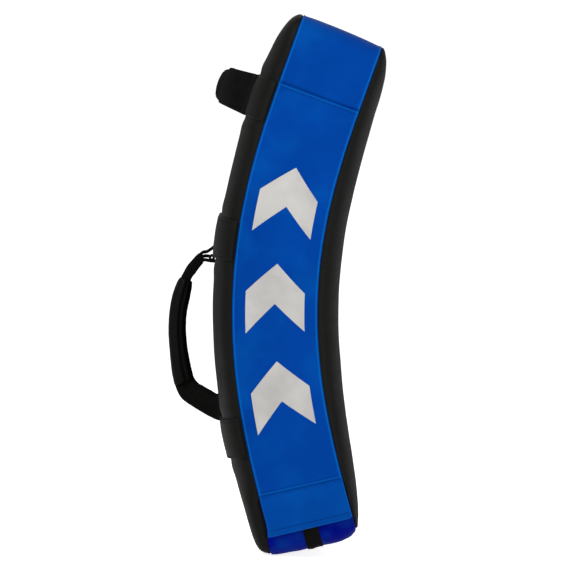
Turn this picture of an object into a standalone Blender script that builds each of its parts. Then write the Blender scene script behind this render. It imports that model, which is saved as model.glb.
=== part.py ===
"""Curved kick shield: a padded body in a sewn cover, with an arm strap, a padded grip and a closure flap.

Frame: metres, +Z up along the shield's chord, X across its width, the hollow striking face towards -Y and the
handles towards +Y. The origin is the centre of the bounding box's underside.

A place on the shield is given as (s, x, n): s along the bent centreline from the bottom end, x across the width,
n outwards from the centreline, positive to the back.
"""

import math

import bmesh
import bpy
from mathutils import Vector

# ---------------------------------------------------------------- driving dimensions (metres, degrees)
LENGTH = 0.728  # along the centreline
WIDTH = 0.350
HALF_GUSSET = 0.060  # the side wall is 120 mm wide
STRAIGHT_BOTTOM = 0.033  # unbent run at the bottom end
STRAIGHT_TOP = 0.058  # unbent run at the top end
BEND = 35.1  # total bend between the two ends
CORNER = 0.080  # reach of the rounded corners and edges
CORNER_POWER = 6  # superellipse power of the outline's corners
# how far each face stands above its seam, as (from the top end, rise) before its edge is rounded off
BACK_RISE = (
    (0.0, 0.0285),
    (0.027, 0.0275),
    (0.055, 0.0265),
    (0.088, 0.0278),
    (0.160, 0.0278),
    (0.215, 0.0270),
    (0.600, 0.0270),
    (0.640, 0.0256),
    (0.660, 0.0246),
    (0.728, 0.0246),
)
FRONT_RISE = (
    (0.0, 0.0145),
    (0.016, 0.0180),
    (0.040, 0.0204),
    (0.072, 0.0217),
    (0.130, 0.0241),
    (0.225, 0.0275),
    (0.300, 0.0285),
    (0.400, 0.0290),
    (0.480, 0.0281),
    (0.560, 0.0244),
    (0.620, 0.0205),
    (0.664, 0.0164),
    (0.705, 0.0125),
    (0.728, 0.0102),
)
# the end walls swell beyond the straight end, as (n, distance)
BOTTOM_SWELL = (
    (-0.0600, 0.0),
    (-0.0562, 0.0040),
    (-0.0517, 0.0072),
    (-0.0480, 0.0088),
    (-0.0360, 0.0106),
    (-0.0190, 0.0103),
    (0.0, 0.0096),
    (0.0240, 0.0082),
    (0.0450, 0.0068),
    (0.0589, 0.0044),
    (0.0640, 0.0),
)
TOP_SWELL = ((-0.0530, -0.0012), (0.0, 0.0011), (0.0600, 0.0034))
BOTTOM_SWELL_REACH = 0.020
TOP_SWELL_REACH = 0.030

COVER = 0.0020  # cover leather
GAP = 0.0003  # between touching pieces
FOAM_INSET = 0.0025  # from the cover's outside to the filling
BACKING_N = 0.042  # backing foam lies behind this level
IMPACT_N = -0.038  # impact foam lies in front of this level

TOP_SEAM = 0.0951  # from the top end
FLAP_SEAM = 0.0762  # from the bottom end
FLAP_EDGE = 0.0216  # free edge of the closure flap, from the bottom end
FLAP_THICK = 0.0018
STRIP_THICK = 0.0012  # hook tape and loop tape
END_WEB_WIDTH = 0.022
END_WEB_N = 0.002
END_WEB_TOP = 0.030
END_WEB_THICK = 0.0016

BAND_THICK = 0.0034
UPPER_BAND = (0.2860, 0.3376)  # from the top end
LOWER_BAND = (0.5399, 0.5921)
ARM_BAND = (0.0960, 0.1525)
BAND_START = 14.0  # degrees round the edge's ellipse where the bands begin
ARM_BAND_INNER = 0.080  # the arm bands stop this far from the middle

ARCH_ROOT = 0.088  # half span of the arm strap's arch
ARCH_RISE = 0.0354
STRAP_THICK = 0.0025
STRAP_TIP = 0.034  # the inner half reaches this far past the middle
OUTER_TIP = 0.0105  # and the outer half this far past it, the other way
INNER_PAD = 0.0057  # padding of the inner half, where the outer half doesn't cover it
PAD_END = -0.0130  # the padding stops here, square to the strap
STRAP_CROWN = 0.0052  # padding of the outer half above its edges
OUTER_EDGE_THICK = 0.0030
STRAP_TAPER = 0.0036  # both halves narrow by this much on each side towards the crown
OUTER_INSET = 0.0030  # the outer half is this much narrower on each side

HINGE_N = 0.0955  # height of the grip's swing axis above the centreline
GRIP_PIVOTS = (0.3375, 0.5278)  # from the top end

# ---------------------------------------------------------------- centreline
STEPS = 1456


def smooth(u):
    u = min(1.0, max(0.0, u))
    return u * u * (3 - 2 * u)


def bend_angle(s):
    """Lean of the centreline at s, before the chord is stood upright; positive leans to the front."""
    run = LENGTH - STRAIGHT_TOP - STRAIGHT_BOTTOM
    return math.radians(BEND) * smooth((s - STRAIGHT_BOTTOM) / run)


def trace():
    """Points along the centreline every LENGTH / STEPS, its chord upright and its bottom end at zero."""
    ds = LENGTH / STEPS
    y = z = 0.0
    points = [(0.0, 0.0)]
    for i in range(STEPS):
        a = bend_angle((i + 0.5) * ds)
        y -= math.sin(a) * ds
        z += math.cos(a) * ds
        points.append((y, z))
    turn = math.atan2(y, z)  # angle that stands the chord upright
    c, sn = math.cos(turn), math.sin(turn)
    return [(p * c - q * sn, p * sn + q * c) for p, q in points], turn


TRACE, TURN = trace()


def lean(s):
    return bend_angle(s) + TURN


def from_table(table, v):
    """A value read off a table of (place, value), straight between its rows."""
    if v <= table[0][0]:
        return table[0][1]
    for (a, p), (b, q) in zip(table, table[1:]):
        if v <= b:
            return p + (q - p) * (v - a) / (b - a)
    return table[-1][1]


def at(s, x, n):
    """World point of (s, x, n)."""
    own = s
    s += from_table(TOP_SWELL, n) * smooth(1 - (LENGTH - own) / TOP_SWELL_REACH)
    s -= from_table(BOTTOM_SWELL, n) * smooth(1 - own / BOTTOM_SWELL_REACH)
    f = min(max(s / LENGTH, 0.0), 1.0) * STEPS
    i = min(int(f), STEPS - 1)
    t = f - i
    y = TRACE[i][0] * (1 - t) + TRACE[i + 1][0] * t
    z = TRACE[i][1] * (1 - t) + TRACE[i + 1][1] * t
    a = lean(s)
    over = s - min(max(s, 0.0), LENGTH)  # a little beyond an end
    y -= math.sin(a) * over
    z += math.cos(a) * over
    return Vector((x, y + math.cos(a) * n, z + math.sin(a) * n))


def up(s):
    return Vector((0, -math.sin(lean(s)), math.cos(lean(s))))


def out(s):
    return Vector((0, math.cos(lean(s)), math.sin(lean(s))))


def from_top(d):
    return LENGTH - d


# ---------------------------------------------------------------- outline and faces
HALF = WIDTH / 2
FLAT_X = HALF - CORNER  # the faces are level out to here
CORNER_TURNS = (90, 72, 55, 38, 22, 9)  # degrees through each corner
EDGE_TURNS = (62, 42, 22, 0)  # degrees down each long edge
MID_ROWS = 15


def corner(turn, inset=0.0):
    """(distance from the end, x) on the outline at this turn: 90 is the end wall, 0 the side wall."""
    t = math.radians(turn)
    reach = CORNER - inset
    a = max(0.0, math.cos(t)) ** (2 / CORNER_POWER)
    b = max(0.0, math.sin(t)) ** (2 / CORNER_POWER)
    return inset + reach * (1 - b), FLAT_X + reach * a


def rise(side, s):
    """How far a face stands above its seam at s."""
    return from_table(BACK_RISE if side > 0 else FRONT_RISE, LENGTH - s)


def rows(inset=0.0):
    """(s, half width) of each row of a face, bottom to top."""
    ends = [corner(t, inset) for t in CORNER_TURNS]
    body = [
        (CORNER + (LENGTH - 2 * CORNER) * i / MID_ROWS, HALF - inset)
        for i in range(MID_ROWS + 1)
    ]
    return ends + body + [(LENGTH - d, w) for d, w in reversed(ends)]


def columns(half_width, inset=0.0):
    """x of each point across a row."""
    full = [FLAT_X + (CORNER - inset) * math.cos(math.radians(t)) for t in EDGE_TURNS]
    halves = [FLAT_X] + full
    share = half_width / (HALF - inset)
    right = [0.0] + [v * share for v in halves]
    return [-v for v in reversed(right[1:])] + right


def dome(side, s, x, inset):
    """Height of a face above its seam at (s, x)."""
    reach = CORNER - inset
    a = min(1.0, max(0.0, (abs(x) - FLAT_X) / reach))
    near = min(s - inset, LENGTH - inset - s)
    b = min(1.0, max(0.0, 1 - near / reach))
    r = min(1.0, (a**CORNER_POWER + b**CORNER_POWER) ** (1 / CORNER_POWER))
    # the back is stuffed fuller into its lower edge
    full = 1 - smooth((s - 0.060) / 0.060) if side > 0 else 0.0
    shape = max(0.0, 1 - r ** (2 + full)) ** (0.5 - 0.22 * full)
    return (rise(side, s) - inset) * shape


def face_n(side, s, x, inset=0.0, base=HALF_GUSSET):
    """n of the back (side 1) or the striking face (side -1), inset from its outside."""
    return side * (base + dome(side, s, x, inset))


def grid(inset, height):
    """Rows of points over the outline, inset, at the height that height(s, x) gives."""
    return [
        [at(s, x, height(s, x)) for x in columns(w, inset)] for s, w in rows(inset)
    ]


# ---------------------------------------------------------------- builders
for old in list(bpy.data.objects):
    bpy.data.objects.remove(old, do_unlink=True)


def material(name, colour, roughness, metallic=0.0):
    m = bpy.data.materials.new(name)
    m.use_nodes = True
    shader = m.node_tree.nodes["Principled BSDF"]
    shader.inputs["Base Color"].default_value = (*colour, 1)
    shader.inputs["Roughness"].default_value = roughness
    shader.inputs["Metallic"].default_value = metallic
    m.diffuse_color = (*colour, 1)
    return m


BLACK_HIDE = material("black_hide", (0.018, 0.018, 0.017), 0.48)
BLUE_HIDE = material("blue_hide", (0.002, 0.055, 0.36), 0.50)
DEEP_BLUE = material("deep_blue_cloth", (0.001, 0.004, 0.20), 0.62)
WEBBING = material("webbing", (0.010, 0.010, 0.010), 0.85)
TAPE = material("hook_and_loop", (0.008, 0.008, 0.008), 0.95)
FOAM_WHITE = material("foam_core", (0.72, 0.70, 0.64), 0.95)
FOAM_GREY = material("impact_foam", (0.16, 0.16, 0.17), 0.90)
FOAM_BLACK = material("backing_foam", (0.03, 0.03, 0.03), 0.90)


def finish(bm, name, look, origin=None, crisp=30):
    """Makes the named object from a closed mesh, its origin at the joint's axis or its own middle."""
    bmesh.ops.remove_doubles(bm, verts=bm.verts, dist=1e-6)
    bmesh.ops.recalc_face_normals(bm, faces=bm.faces)
    lo = Vector([min(v.co[k] for v in bm.verts) for k in range(3)])
    hi = Vector([max(v.co[k] for v in bm.verts) for k in range(3)])
    place = Vector(origin) if origin else (lo + hi) / 2
    bmesh.ops.translate(bm, verts=bm.verts, vec=-place)
    mesh = bpy.data.meshes.new(name)
    bm.to_mesh(mesh)
    bm.free()
    mesh.shade_smooth()
    mesh.set_sharp_from_angle(angle=math.radians(crisp))
    mesh.materials.append(look)
    body = bpy.data.objects.new(name, mesh)
    body.location = place
    bpy.context.scene.collection.objects.link(body)
    return body


def slab(name, upper, lower, look, origin=None):
    """A closed sheet between two grids of points of the same shape."""
    bm = bmesh.new()
    a = [[bm.verts.new(p) for p in row] for row in upper]
    b = [[bm.verts.new(p) for p in row] for row in lower]
    m, n = len(a), len(a[0])
    for i in range(m - 1):
        for j in range(n - 1):
            bm.faces.new((a[i][j], a[i][j + 1], a[i + 1][j + 1], a[i + 1][j]))
            bm.faces.new((b[i][j], b[i + 1][j], b[i + 1][j + 1], b[i][j + 1]))
    rim = (
        [(0, j) for j in range(n)]
        + [(i, n - 1) for i in range(1, m)]
        + [(m - 1, j) for j in range(n - 2, -1, -1)]
        + [(i, 0) for i in range(m - 2, 0, -1)]
    )
    for k, (i, j) in enumerate(rim):
        p, q = rim[(k + 1) % len(rim)]
        bm.faces.new((a[i][j], b[i][j], b[p][q], a[p][q]))
    return finish(bm, name, look, origin)


def loft(name, rings, look, hole=None, origin=None):
    """A closed tube through rings of points, with a bore through it where hole gives the inner rings."""
    bm = bmesh.new()
    outer = [[bm.verts.new(p) for p in ring] for ring in rings]
    count = len(rings[0])

    def wall(loops):
        for one, two in zip(loops, loops[1:]):
            for k in range(count):
                bm.faces.new(
                    (one[k], one[(k + 1) % count], two[(k + 1) % count], two[k])
                )

    wall(outer)
    if hole:
        inner = [[bm.verts.new(p) for p in ring] for ring in hole]
        wall(inner)
        for one, two in ((outer[0], inner[0]), (outer[-1], inner[-1])):
            for k in range(count):
                bm.faces.new(
                    (one[k], one[(k + 1) % count], two[(k + 1) % count], two[k])
                )
    else:
        bm.faces.new(outer[0])
        bm.faces.new(outer[-1])
    return finish(bm, name, look, origin)


# ---------------------------------------------------------------- cover: striking face and back
seam = HALF_GUSSET + GAP
for name, side in (("back_panel", 1), ("striking_panel", -1)):
    slab(
        name,
        grid(0.0, lambda s, x: face_n(side, s, x, 0.0, seam)),
        grid(COVER, lambda s, x: face_n(side, s, x, COVER, seam)),
        BLACK_HIDE,
    )

# ---------------------------------------------------------------- filling: three layers of foam
slab(
    "backing_foam",
    grid(FOAM_INSET, lambda s, x: face_n(1, s, x, FOAM_INSET)),
    grid(FOAM_INSET, lambda s, x: BACKING_N),
    FOAM_BLACK,
)
slab(
    "foam_core",
    grid(FOAM_INSET, lambda s, x: BACKING_N - GAP),
    grid(FOAM_INSET, lambda s, x: IMPACT_N + GAP),
    FOAM_WHITE,
)
slab(
    "impact_foam",
    grid(FOAM_INSET, lambda s, x: IMPACT_N),
    grid(FOAM_INSET, lambda s, x: face_n(-1, s, x, FOAM_INSET)),
    FOAM_GREY,
)


# ---------------------------------------------------------------- cover: the gusset, in four lengths
def station(turn, sign, top):
    """(s, x, normal s, normal x) of the outline at a corner turn."""
    d, x = corner(turn)
    t = math.radians(turn)
    a = max(0.0, math.cos(t)) ** (2 / CORNER_POWER)
    b = max(0.0, math.sin(t)) ** (2 / CORNER_POWER)
    ns, nx = b ** (CORNER_POWER - 1), a ** (CORNER_POWER - 1)
    size = math.hypot(ns, nx)
    s = LENGTH - d if top else d
    return s, sign * x, (ns if top else -ns) / size, sign * nx / size


def turn_at(d):
    """The corner turn that lies this far from the end."""
    b = 1 - d / CORNER
    return math.degrees(math.asin(max(0.0, b) ** (CORNER_POWER / 2)))


def round_end(top, near_d, far_d):
    """Stations from the -X wall, round an end, to the +X wall, starting and stopping this far from the end."""

    def flank(sign, start):
        found = []
        if start > CORNER:
            s = LENGTH - start if top else start
            found.append((s, sign * HALF, 0.0, float(sign)))
            found.append(station(0, sign, top))
        else:
            found.append(station(turn_at(start), sign, top))
        first = turn_at(min(start, CORNER))
        found += [
            station(t, sign, top)
            for t in (9, 22, 38, 55, 72, 90)
            if t > first + 2
        ]
        return found

    s, ns = (LENGTH, 1.0) if top else (0.0, -1.0)
    middle = [(s, 0.0, ns, 0.0)]
    return flank(-1, near_d) + middle + list(reversed(flank(1, far_d)))


def straight_side(sign, s0, s1, count):
    return [
        (s0 + (s1 - s0) * i / count, sign * HALF, 0.0, float(sign))
        for i in range(count + 1)
    ]


def wall(name, stations, n0, n1, inner, outer, look, origin=None):
    """A sheet that follows the outline between two offsets from it, from n0 to n1."""

    def line(offset, n):
        return [at(s + ns * offset, x + nx * offset, n) for s, x, ns, nx in stations]

    lines = [n0] + [n for n, _ in BOTTOM_SWELL if n0 + 0.001 < n < n1 - 0.001] + [n1]
    if all(BOTTOM_SWELL_REACH < s < LENGTH - TOP_SWELL_REACH for s, _, _, _ in stations):
        lines = [n0, n1]
    return slab(
        name,
        [line(outer, n) for n in lines],
        [line(inner, n) for n in lines],
        look,
        origin,
    )


g = HALF_GUSSET
wall(
    "top_gusset",
    round_end(True, TOP_SEAM - GAP, TOP_SEAM - GAP),
    -g,
    g,
    -COVER,
    0,
    BLUE_HIDE,
)
wall(
    "near_side_gusset",
    straight_side(-1, FLAP_SEAM + GAP, from_top(TOP_SEAM) - GAP, 16),
    -g,
    g,
    -COVER,
    0,
    BLUE_HIDE,
)
wall(
    "far_side_gusset",
    straight_side(1, FLAP_SEAM + GAP, from_top(TOP_SEAM) - GAP, 16),
    -g,
    g,
    -COVER,
    0,
    BLUE_HIDE,
)
wall(
    "end_gusset",
    round_end(False, FLAP_SEAM - GAP, FLAP_SEAM - GAP),
    -g,
    g,
    -COVER,
    0,
    DEEP_BLUE,
)

# ---------------------------------------------------------------- closure flap, its tapes and the end webbing
strip_in = GAP
strip_out = strip_in + STRIP_THICK
loop_in = strip_out + GAP
loop_out = loop_in + STRIP_THICK
flap_in = loop_out + GAP
flap_out = flap_in + FLAP_THICK
FLAP_AXIS_S = FLAP_SEAM
FLAP_AXIS_X = -(HALF + (flap_in + flap_out) / 2)
flap_axis = at(FLAP_AXIS_S, FLAP_AXIS_X, 0)


def near_wall(d0, d1, count):
    """Stations down the -X wall between two distances from the bottom end."""
    found = []
    for i in range(count + 1):
        d = d0 + (d1 - d0) * i / count
        found.append(station(turn_at(d), -1, False))
    return found


wall(
    "closure_flap",
    near_wall(FLAP_SEAM - 0.0010, FLAP_EDGE, 5),
    -g + 0.0005,
    g - 0.0005,
    flap_in,
    flap_out,
    BLUE_HIDE,
    origin=flap_axis,
)
wall(
    "flap_loop_tape",
    near_wall(0.061, 0.034, 3),
    -g + 0.007,
    g - 0.007,
    loop_in,
    loop_out,
    TAPE,
    origin=flap_axis,
)
wall(
    "gusset_hook_tape",
    near_wall(0.061, 0.034, 3),
    -g + 0.007,
    g - 0.007,
    strip_in,
    strip_out,
    TAPE,
)
wall(
    "end_webbing",
    round_end(False, END_WEB_TOP, END_WEB_TOP),
    END_WEB_N - END_WEB_WIDTH / 2,
    END_WEB_N + END_WEB_WIDTH / 2,
    GAP,
    GAP + END_WEB_THICK,
    WEBBING,
)


# ---------------------------------------------------------------- bands across the back
def back_point(s, turn, sign, lift):
    """A point lifted off the back, turn degrees round the long edge's ellipse: 0 at the seam, 90 at the level part."""
    t = math.radians(turn)
    height = rise(1, s)
    x = FLAT_X + CORNER * math.cos(t)
    n = seam + height * math.sin(t)
    nx, nn = height * math.cos(t), CORNER * math.sin(t)
    size = math.hypot(nx, nn)
    return at(s, sign * (x + lift * nx / size), n + lift * nn / size)


def across(s, low, high, left, right):
    """One line of points across the back at s, for the lower and the upper side of a band."""
    turns = (BAND_START, 22, 42, 62, 90)
    lines = ([], [])
    for line, lift in zip(lines, (low, high)):
        if left:
            line += [back_point(s, t, -1, lift) for t in turns]
        else:
            line.append(at(s, ARM_BAND_INNER, seam + rise(1, s) + lift))
        if left and right:
            line.append(at(s, 0.0, seam + rise(1, s) + lift))
        if right:
            line += [back_point(s, t, 1, lift) for t in reversed(turns)]
        else:
            line.append(at(s, -ARM_BAND_INNER, seam + rise(1, s) + lift))
    return lines


def band(name, span, left=True, right=True, look=BLACK_HIDE):
    s1, s0 = from_top(span[0]), from_top(span[1])
    below, above = [], []
    for i in range(4):
        low, high = across(
            s0 + (s1 - s0) * i / 3, GAP, GAP + BAND_THICK, left, right
        )
        below.append(low)
        above.append(high)
    return slab(name, above, below, look)


band("grip_band_upper", UPPER_BAND)
band("grip_band_lower", LOWER_BAND)
band("arm_band_near", ARM_BAND, right=False)
band("arm_band_far", ARM_BAND, left=False)

# ---------------------------------------------------------------- arm strap: two halves that overlap on hook and loop
arm_s0, arm_s1 = from_top(ARM_BAND[1]), from_top(ARM_BAND[0])
arm_mid = (arm_s0 + arm_s1) / 2
arm_band_top = seam + rise(1, arm_mid) + GAP + BAND_THICK
arch_base = arm_band_top + GAP


def arch(x):
    """Height of the arch's underside above the bands."""
    return ARCH_RISE * (1 - min(1.0, abs(x) / ARCH_ROOT) ** 2.4)


def arch_point(s, x, lift):
    """A point lifted off the arch, square to it."""
    e = 1e-4
    slope = (arch(x + e) - arch(x - e)) / (2 * e)
    if abs(x) >= ARCH_ROOT:
        slope = 0.0
    size = math.hypot(1, slope)
    return at(s, x - lift * slope / size, arch_base + arch(x) + lift / size)


def strap(name, xs, low, high, inset, look, crown=lambda x: 0.0, across_count=2, origin=None):
    """A sheet along the arch through the given x, between two lifts, padded in its middle by crown."""
    below, above = [], []
    s0, s1 = arm_s0 + inset, arm_s1 - inset
    for x in xs:
        under, over = [], []
        taper = STRAP_TAPER * arch(x) / ARCH_RISE
        for j in range(across_count + 1):
            w = j / across_count
            s = s0 + taper + (s1 - s0 - 2 * taper) * w
            pad = crown(x) * (1 - abs(2 * w - 1) ** 2.2)
            under.append(arch_point(s, x, low))
            over.append(arch_point(s, x, high + pad))
        below.append(under)
        above.append(over)
    return slab(name, above, below, look, origin)


def spread(a, b, count):
    return [a + (b - a) * i / count for i in range(count + 1)]


tape_1 = STRAP_THICK + GAP
tape_2 = tape_1 + STRIP_THICK + GAP
outer_low = tape_2 + STRIP_THICK + GAP
strap_axis = at(arm_mid, ARCH_ROOT, arm_band_top + 0.0042)

strap(
    "arm_strap_inner",
    [-0.106] + spread(-0.0885, PAD_END, 8) + spread(PAD_END + 0.0012, STRAP_TIP, 5),
    0.0,
    STRAP_THICK,
    0.0,
    WEBBING,
    crown=lambda x: INNER_PAD * smooth((x + 0.082) / 0.030) if x <= PAD_END + 1e-6 else 0.0,
    across_count=6,
)
strap(
    "strap_loop_tape",
    spread(-OUTER_TIP + 0.001, STRAP_TIP - 0.002, 5),
    tape_1,
    tape_1 + STRIP_THICK,
    0.005,
    TAPE,
)
strap(
    "strap_hook_tape",
    spread(-OUTER_TIP + 0.002, 0.028, 5),
    tape_2,
    tape_2 + STRIP_THICK,
    0.006,
    TAPE,
    origin=strap_axis,
)


# the outer half runs down to its sewn root, losing the tapes' height on the way
def outer_lift(x):
    return outer_low * (1 - smooth((x - 0.036) / 0.040)) + 0.0016 * smooth(
        (x - 0.036) / 0.040
    )


below, above = [], []
for x in spread(-OUTER_TIP, 0.0845, 11):
    under, over = [], []
    for j in range(7):
        w = j / 6
        inset = OUTER_INSET + STRAP_TAPER * arch(x) / ARCH_RISE
        s = arm_s0 + inset + (arm_s1 - arm_s0 - 2 * inset) * w
        fade = 1 - smooth((x - 0.045) / 0.035)
        pad = STRAP_CROWN * (1 - abs(2 * w - 1) ** 2.2) * (0.15 + 0.85 * fade)
        under.append(arch_point(s, x, outer_lift(x)))
        over.append(arch_point(s, x, outer_lift(x) + OUTER_EDGE_THICK - 0.0008 * (1 - fade) + pad))
    below.append(under)
    above.append(over)
slab("arm_strap_outer", above, below, BLACK_HIDE, origin=strap_axis)
wall_s = (arm_s0 + OUTER_INSET, arm_s1 - OUTER_INSET)
slab(
    "arm_strap_root",
    [
        [at(s, x, arm_band_top + GAP + 0.0014) for s in wall_s]
        for x in (0.0905, 0.1020)
    ],
    [[at(s, x, arm_band_top + GAP) for s in wall_s] for x in (0.0905, 0.1020)],
    BLACK_HIDE,
)

# ---------------------------------------------------------------- grip: webbing, foam and cover, swinging on sewn tabs
SIDES = 12


def side_point(d, n):
    """A point in the shield's middle plane, d from the top end along the centreline and n out from it."""
    return at(from_top(d), 0.0, n)


def ring(outer, inner, thick, power, grow=0.0):
    """A rounded section between two points of the middle plane, thick across it."""
    o, i = side_point(*outer), side_point(*inner)
    middle, arm = (o + i) / 2, (o - i) / 2
    reach = arm.length + grow
    arm = arm.normalized()
    points = []
    for k in range(SIDES):
        t = 2 * math.pi * (k + 0.5) / SIDES
        c, sn = math.cos(t), math.sin(t)
        u = math.copysign(abs(c) ** (2 / power), c)
        v = math.copysign(abs(sn) ** (2 / power), sn)
        points.append(middle + arm * (u * reach) + Vector((v * (thick / 2 + grow), 0, 0)))
    return points


START_N = HINGE_N + 0.0005
# each station of the grip: outer edge and inner edge as (from the top end, n), and thickness across
WEB_STATIONS = (
    ((0.3300, START_N), (0.3450, START_N), 0.0040),
    ((0.3345, 0.1035), (0.3463, 0.1015), 0.0055),
    ((0.3385, 0.1135), (0.3540, 0.1087), 0.0085),
    ((0.3491, 0.1230), (0.3613, 0.1138), 0.0095),
    ((0.3579, 0.1292), (0.3688, 0.1190), 0.0095),
    ((0.3727, 0.1368), (0.3780, 0.1215), 0.0095),
    ((0.3905, 0.1428), (0.3940, 0.1260), 0.0095),
    ((0.4116, 0.1465), (0.4140, 0.1295), 0.0095),
    ((0.4361, 0.1480), (0.4360, 0.1305), 0.0095),
    ((0.4633, 0.1478), (0.4620, 0.1300), 0.0095),
    ((0.4830, 0.1470), (0.4770, 0.1270), 0.0095),
    ((0.4970, 0.1450), (0.4880, 0.1220), 0.0095),
    ((0.5083, 0.1430), (0.4935, 0.1180), 0.0085),
    ((0.5180, 0.1350), (0.4985, 0.1110), 0.0070),
    ((0.5330, 0.1155), (0.5060, 0.1005), 0.0055),
    ((0.5450, START_N), (0.5105, START_N), 0.0040),
)
SLEEVE_STATIONS = (
    ((0.3690, 0.1378), (0.3750, 0.1178), 0.0215),
    ((0.3765, 0.1412), (0.3815, 0.1184), 0.0240),
    ((0.3905, 0.1462), (0.3935, 0.1212), 0.0255),
    ((0.4116, 0.1502), (0.4142, 0.1255), 0.0255),
    ((0.4361, 0.1519), (0.4380, 0.1265), 0.0255),
    ((0.4610, 0.1515), (0.4600, 0.1252), 0.0255),
    ((0.4805, 0.1511), (0.4765, 0.1224), 0.0250),
    ((0.4965, 0.1492), (0.4865, 0.1196), 0.0225),
)
grip_axis_top = side_point(GRIP_PIVOTS[0], HINGE_N)
grip_axis_low = side_point(GRIP_PIVOTS[1], HINGE_N)

loft(
    "grip_webbing",
    [ring(o, i, t, 3.2) for o, i, t in WEB_STATIONS],
    WEBBING,
    origin=grip_axis_low,
)
bore = []
for o, i, t in SLEEVE_STATIONS:
    # the webbing's own section at this place, a little larger
    d = (o[0] + i[0]) / 2
    lo = max(k for k, w in enumerate(WEB_STATIONS) if (w[0][0] + w[1][0]) / 2 <= d)
    p, q = WEB_STATIONS[lo], WEB_STATIONS[lo + 1]
    a, b = (p[0][0] + p[1][0]) / 2, (q[0][0] + q[1][0]) / 2
    f = (d - a) / (b - a)
    mix = lambda u, v: (u[0] * (1 - f) + v[0] * f, u[1] * (1 - f) + v[1] * f)
    bore.append(ring(mix(p[0], q[0]), mix(p[1], q[1]), 0.0095, 3.2, 0.0008))
skin = 0.0012
loft(
    "grip_cover",
    [ring(o, i, t, 2.3) for o, i, t in SLEEVE_STATIONS],
    BLACK_HIDE,
    hole=[ring(o, i, t, 2.3, -skin) for o, i, t in SLEEVE_STATIONS],
    origin=grip_axis_low,
)
loft(
    "grip_foam",
    [ring(o, i, t, 2.3, -skin - GAP) for o, i, t in SLEEVE_STATIONS],
    FOAM_BLACK,
    hole=bore,
    origin=grip_axis_low,
)


def tab(name, d0, d1, foot_d0, foot_d1, foot_n):
    """A sewn tab: a flat foot on the back, and an upright that meets the grip's webbing."""
    top = HINGE_N - 0.0020
    foot_top = foot_n + 0.0014
    half, thin = 0.012, 0.0015
    bm = bmesh.new()

    def box(x, da, db, na, nb):
        corners = [
            [bm.verts.new(at(from_top(d), sx * x, n)) for sx in (-1, 1)]
            for d, n in ((da, na), (db, na), (db, nb), (da, nb))
        ]
        for k in range(4):
            a, b = corners[k], corners[(k + 1) % 4]
            bm.faces.new((a[0], a[1], b[1], b[0]))
        bm.faces.new([c[0] for c in corners])
        bm.faces.new([c[1] for c in reversed(corners)])

    box(half, foot_d0, foot_d1, foot_n, foot_top)
    bmesh.ops.recalc_face_normals(bm, faces=bm.faces)
    foot = finish(bm, name, WEBBING)
    bm = bmesh.new()
    box(thin, d0, d1, foot_n + 0.0005, top)
    bmesh.ops.recalc_face_normals(bm, faces=bm.faces)
    upright = finish(bm, name + "_upright", WEBBING)
    join = foot.modifiers.new("join", "BOOLEAN")
    join.operation = "UNION"
    join.object = upright
    upright.hide_render = True
    upright.display_type = "WIRE"
    return foot


grip_face = seam + rise(1, from_top(0.4))
tab("grip_tab_upper", 0.3300, 0.3370, 0.3230, 0.3370, grip_face + GAP + BAND_THICK + GAP)
tab("grip_tab_lower", 0.5115, 0.5385, 0.5095, 0.5390, grip_face + GAP)

# ---------------------------------------------------------------- what moves together hangs on one empty at its axis
for name, place, members in (
    ("grip_swing_axis", grip_axis_low, ("grip_webbing", "grip_cover", "grip_foam")),
    ("strap_fold_axis", strap_axis, ("arm_strap_outer", "strap_hook_tape")),
    ("flap_fold_axis", flap_axis, ("closure_flap", "flap_loop_tape")),
):
    pivot = bpy.data.objects.new(name, None)
    pivot.location = place
    bpy.context.scene.collection.objects.link(pivot)
    for member in members:
        child = bpy.data.objects[member]
        child.parent = pivot
        child.location = Vector((0, 0, 0))

# ---------------------------------------------------------------- the origin: the middle of the box's underside
bpy.context.view_layer.update()
corners = [
    body.matrix_world @ v.co
    for body in bpy.data.objects
    if body.type == "MESH" and not body.hide_render
    for v in body.data.vertices
]
low = [min(p[k] for p in corners) for k in range(3)]
high = [max(p[k] for p in corners) for k in range(3)]
shift = Vector((0, (low[1] + high[1]) / 2, low[2]))
for body in bpy.data.objects:
    if body.parent is None:
        body.location -= shift
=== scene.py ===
import math

import bpy
import numpy as np
from mathutils import Matrix, Vector, noise


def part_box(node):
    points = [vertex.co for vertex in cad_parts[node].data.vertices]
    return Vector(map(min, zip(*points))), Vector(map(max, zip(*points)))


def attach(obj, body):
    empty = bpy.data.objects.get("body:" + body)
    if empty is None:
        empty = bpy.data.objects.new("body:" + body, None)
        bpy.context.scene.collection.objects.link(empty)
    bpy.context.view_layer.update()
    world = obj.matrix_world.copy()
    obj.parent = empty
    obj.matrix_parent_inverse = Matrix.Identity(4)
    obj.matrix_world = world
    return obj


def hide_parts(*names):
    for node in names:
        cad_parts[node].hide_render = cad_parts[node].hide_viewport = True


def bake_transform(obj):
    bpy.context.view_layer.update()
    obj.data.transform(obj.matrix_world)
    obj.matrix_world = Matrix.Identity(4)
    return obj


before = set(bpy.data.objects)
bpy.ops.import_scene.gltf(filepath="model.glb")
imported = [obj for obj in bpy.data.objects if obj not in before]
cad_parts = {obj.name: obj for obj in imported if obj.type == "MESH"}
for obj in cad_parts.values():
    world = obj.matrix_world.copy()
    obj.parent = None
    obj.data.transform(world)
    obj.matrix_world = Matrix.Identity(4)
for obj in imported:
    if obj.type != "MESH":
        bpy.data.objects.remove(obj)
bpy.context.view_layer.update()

# ------------------------------------------------------------------ the shield's own coordinates, as the CAD has them
LENGTH = 0.728
WIDTH = 0.350
G = 0.060  # half the side wall's width
STRAIGHT_BOTTOM = 0.033
STRAIGHT_TOP = 0.058
BEND = 35.1
CORNER = 0.080
POWER = 6
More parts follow.
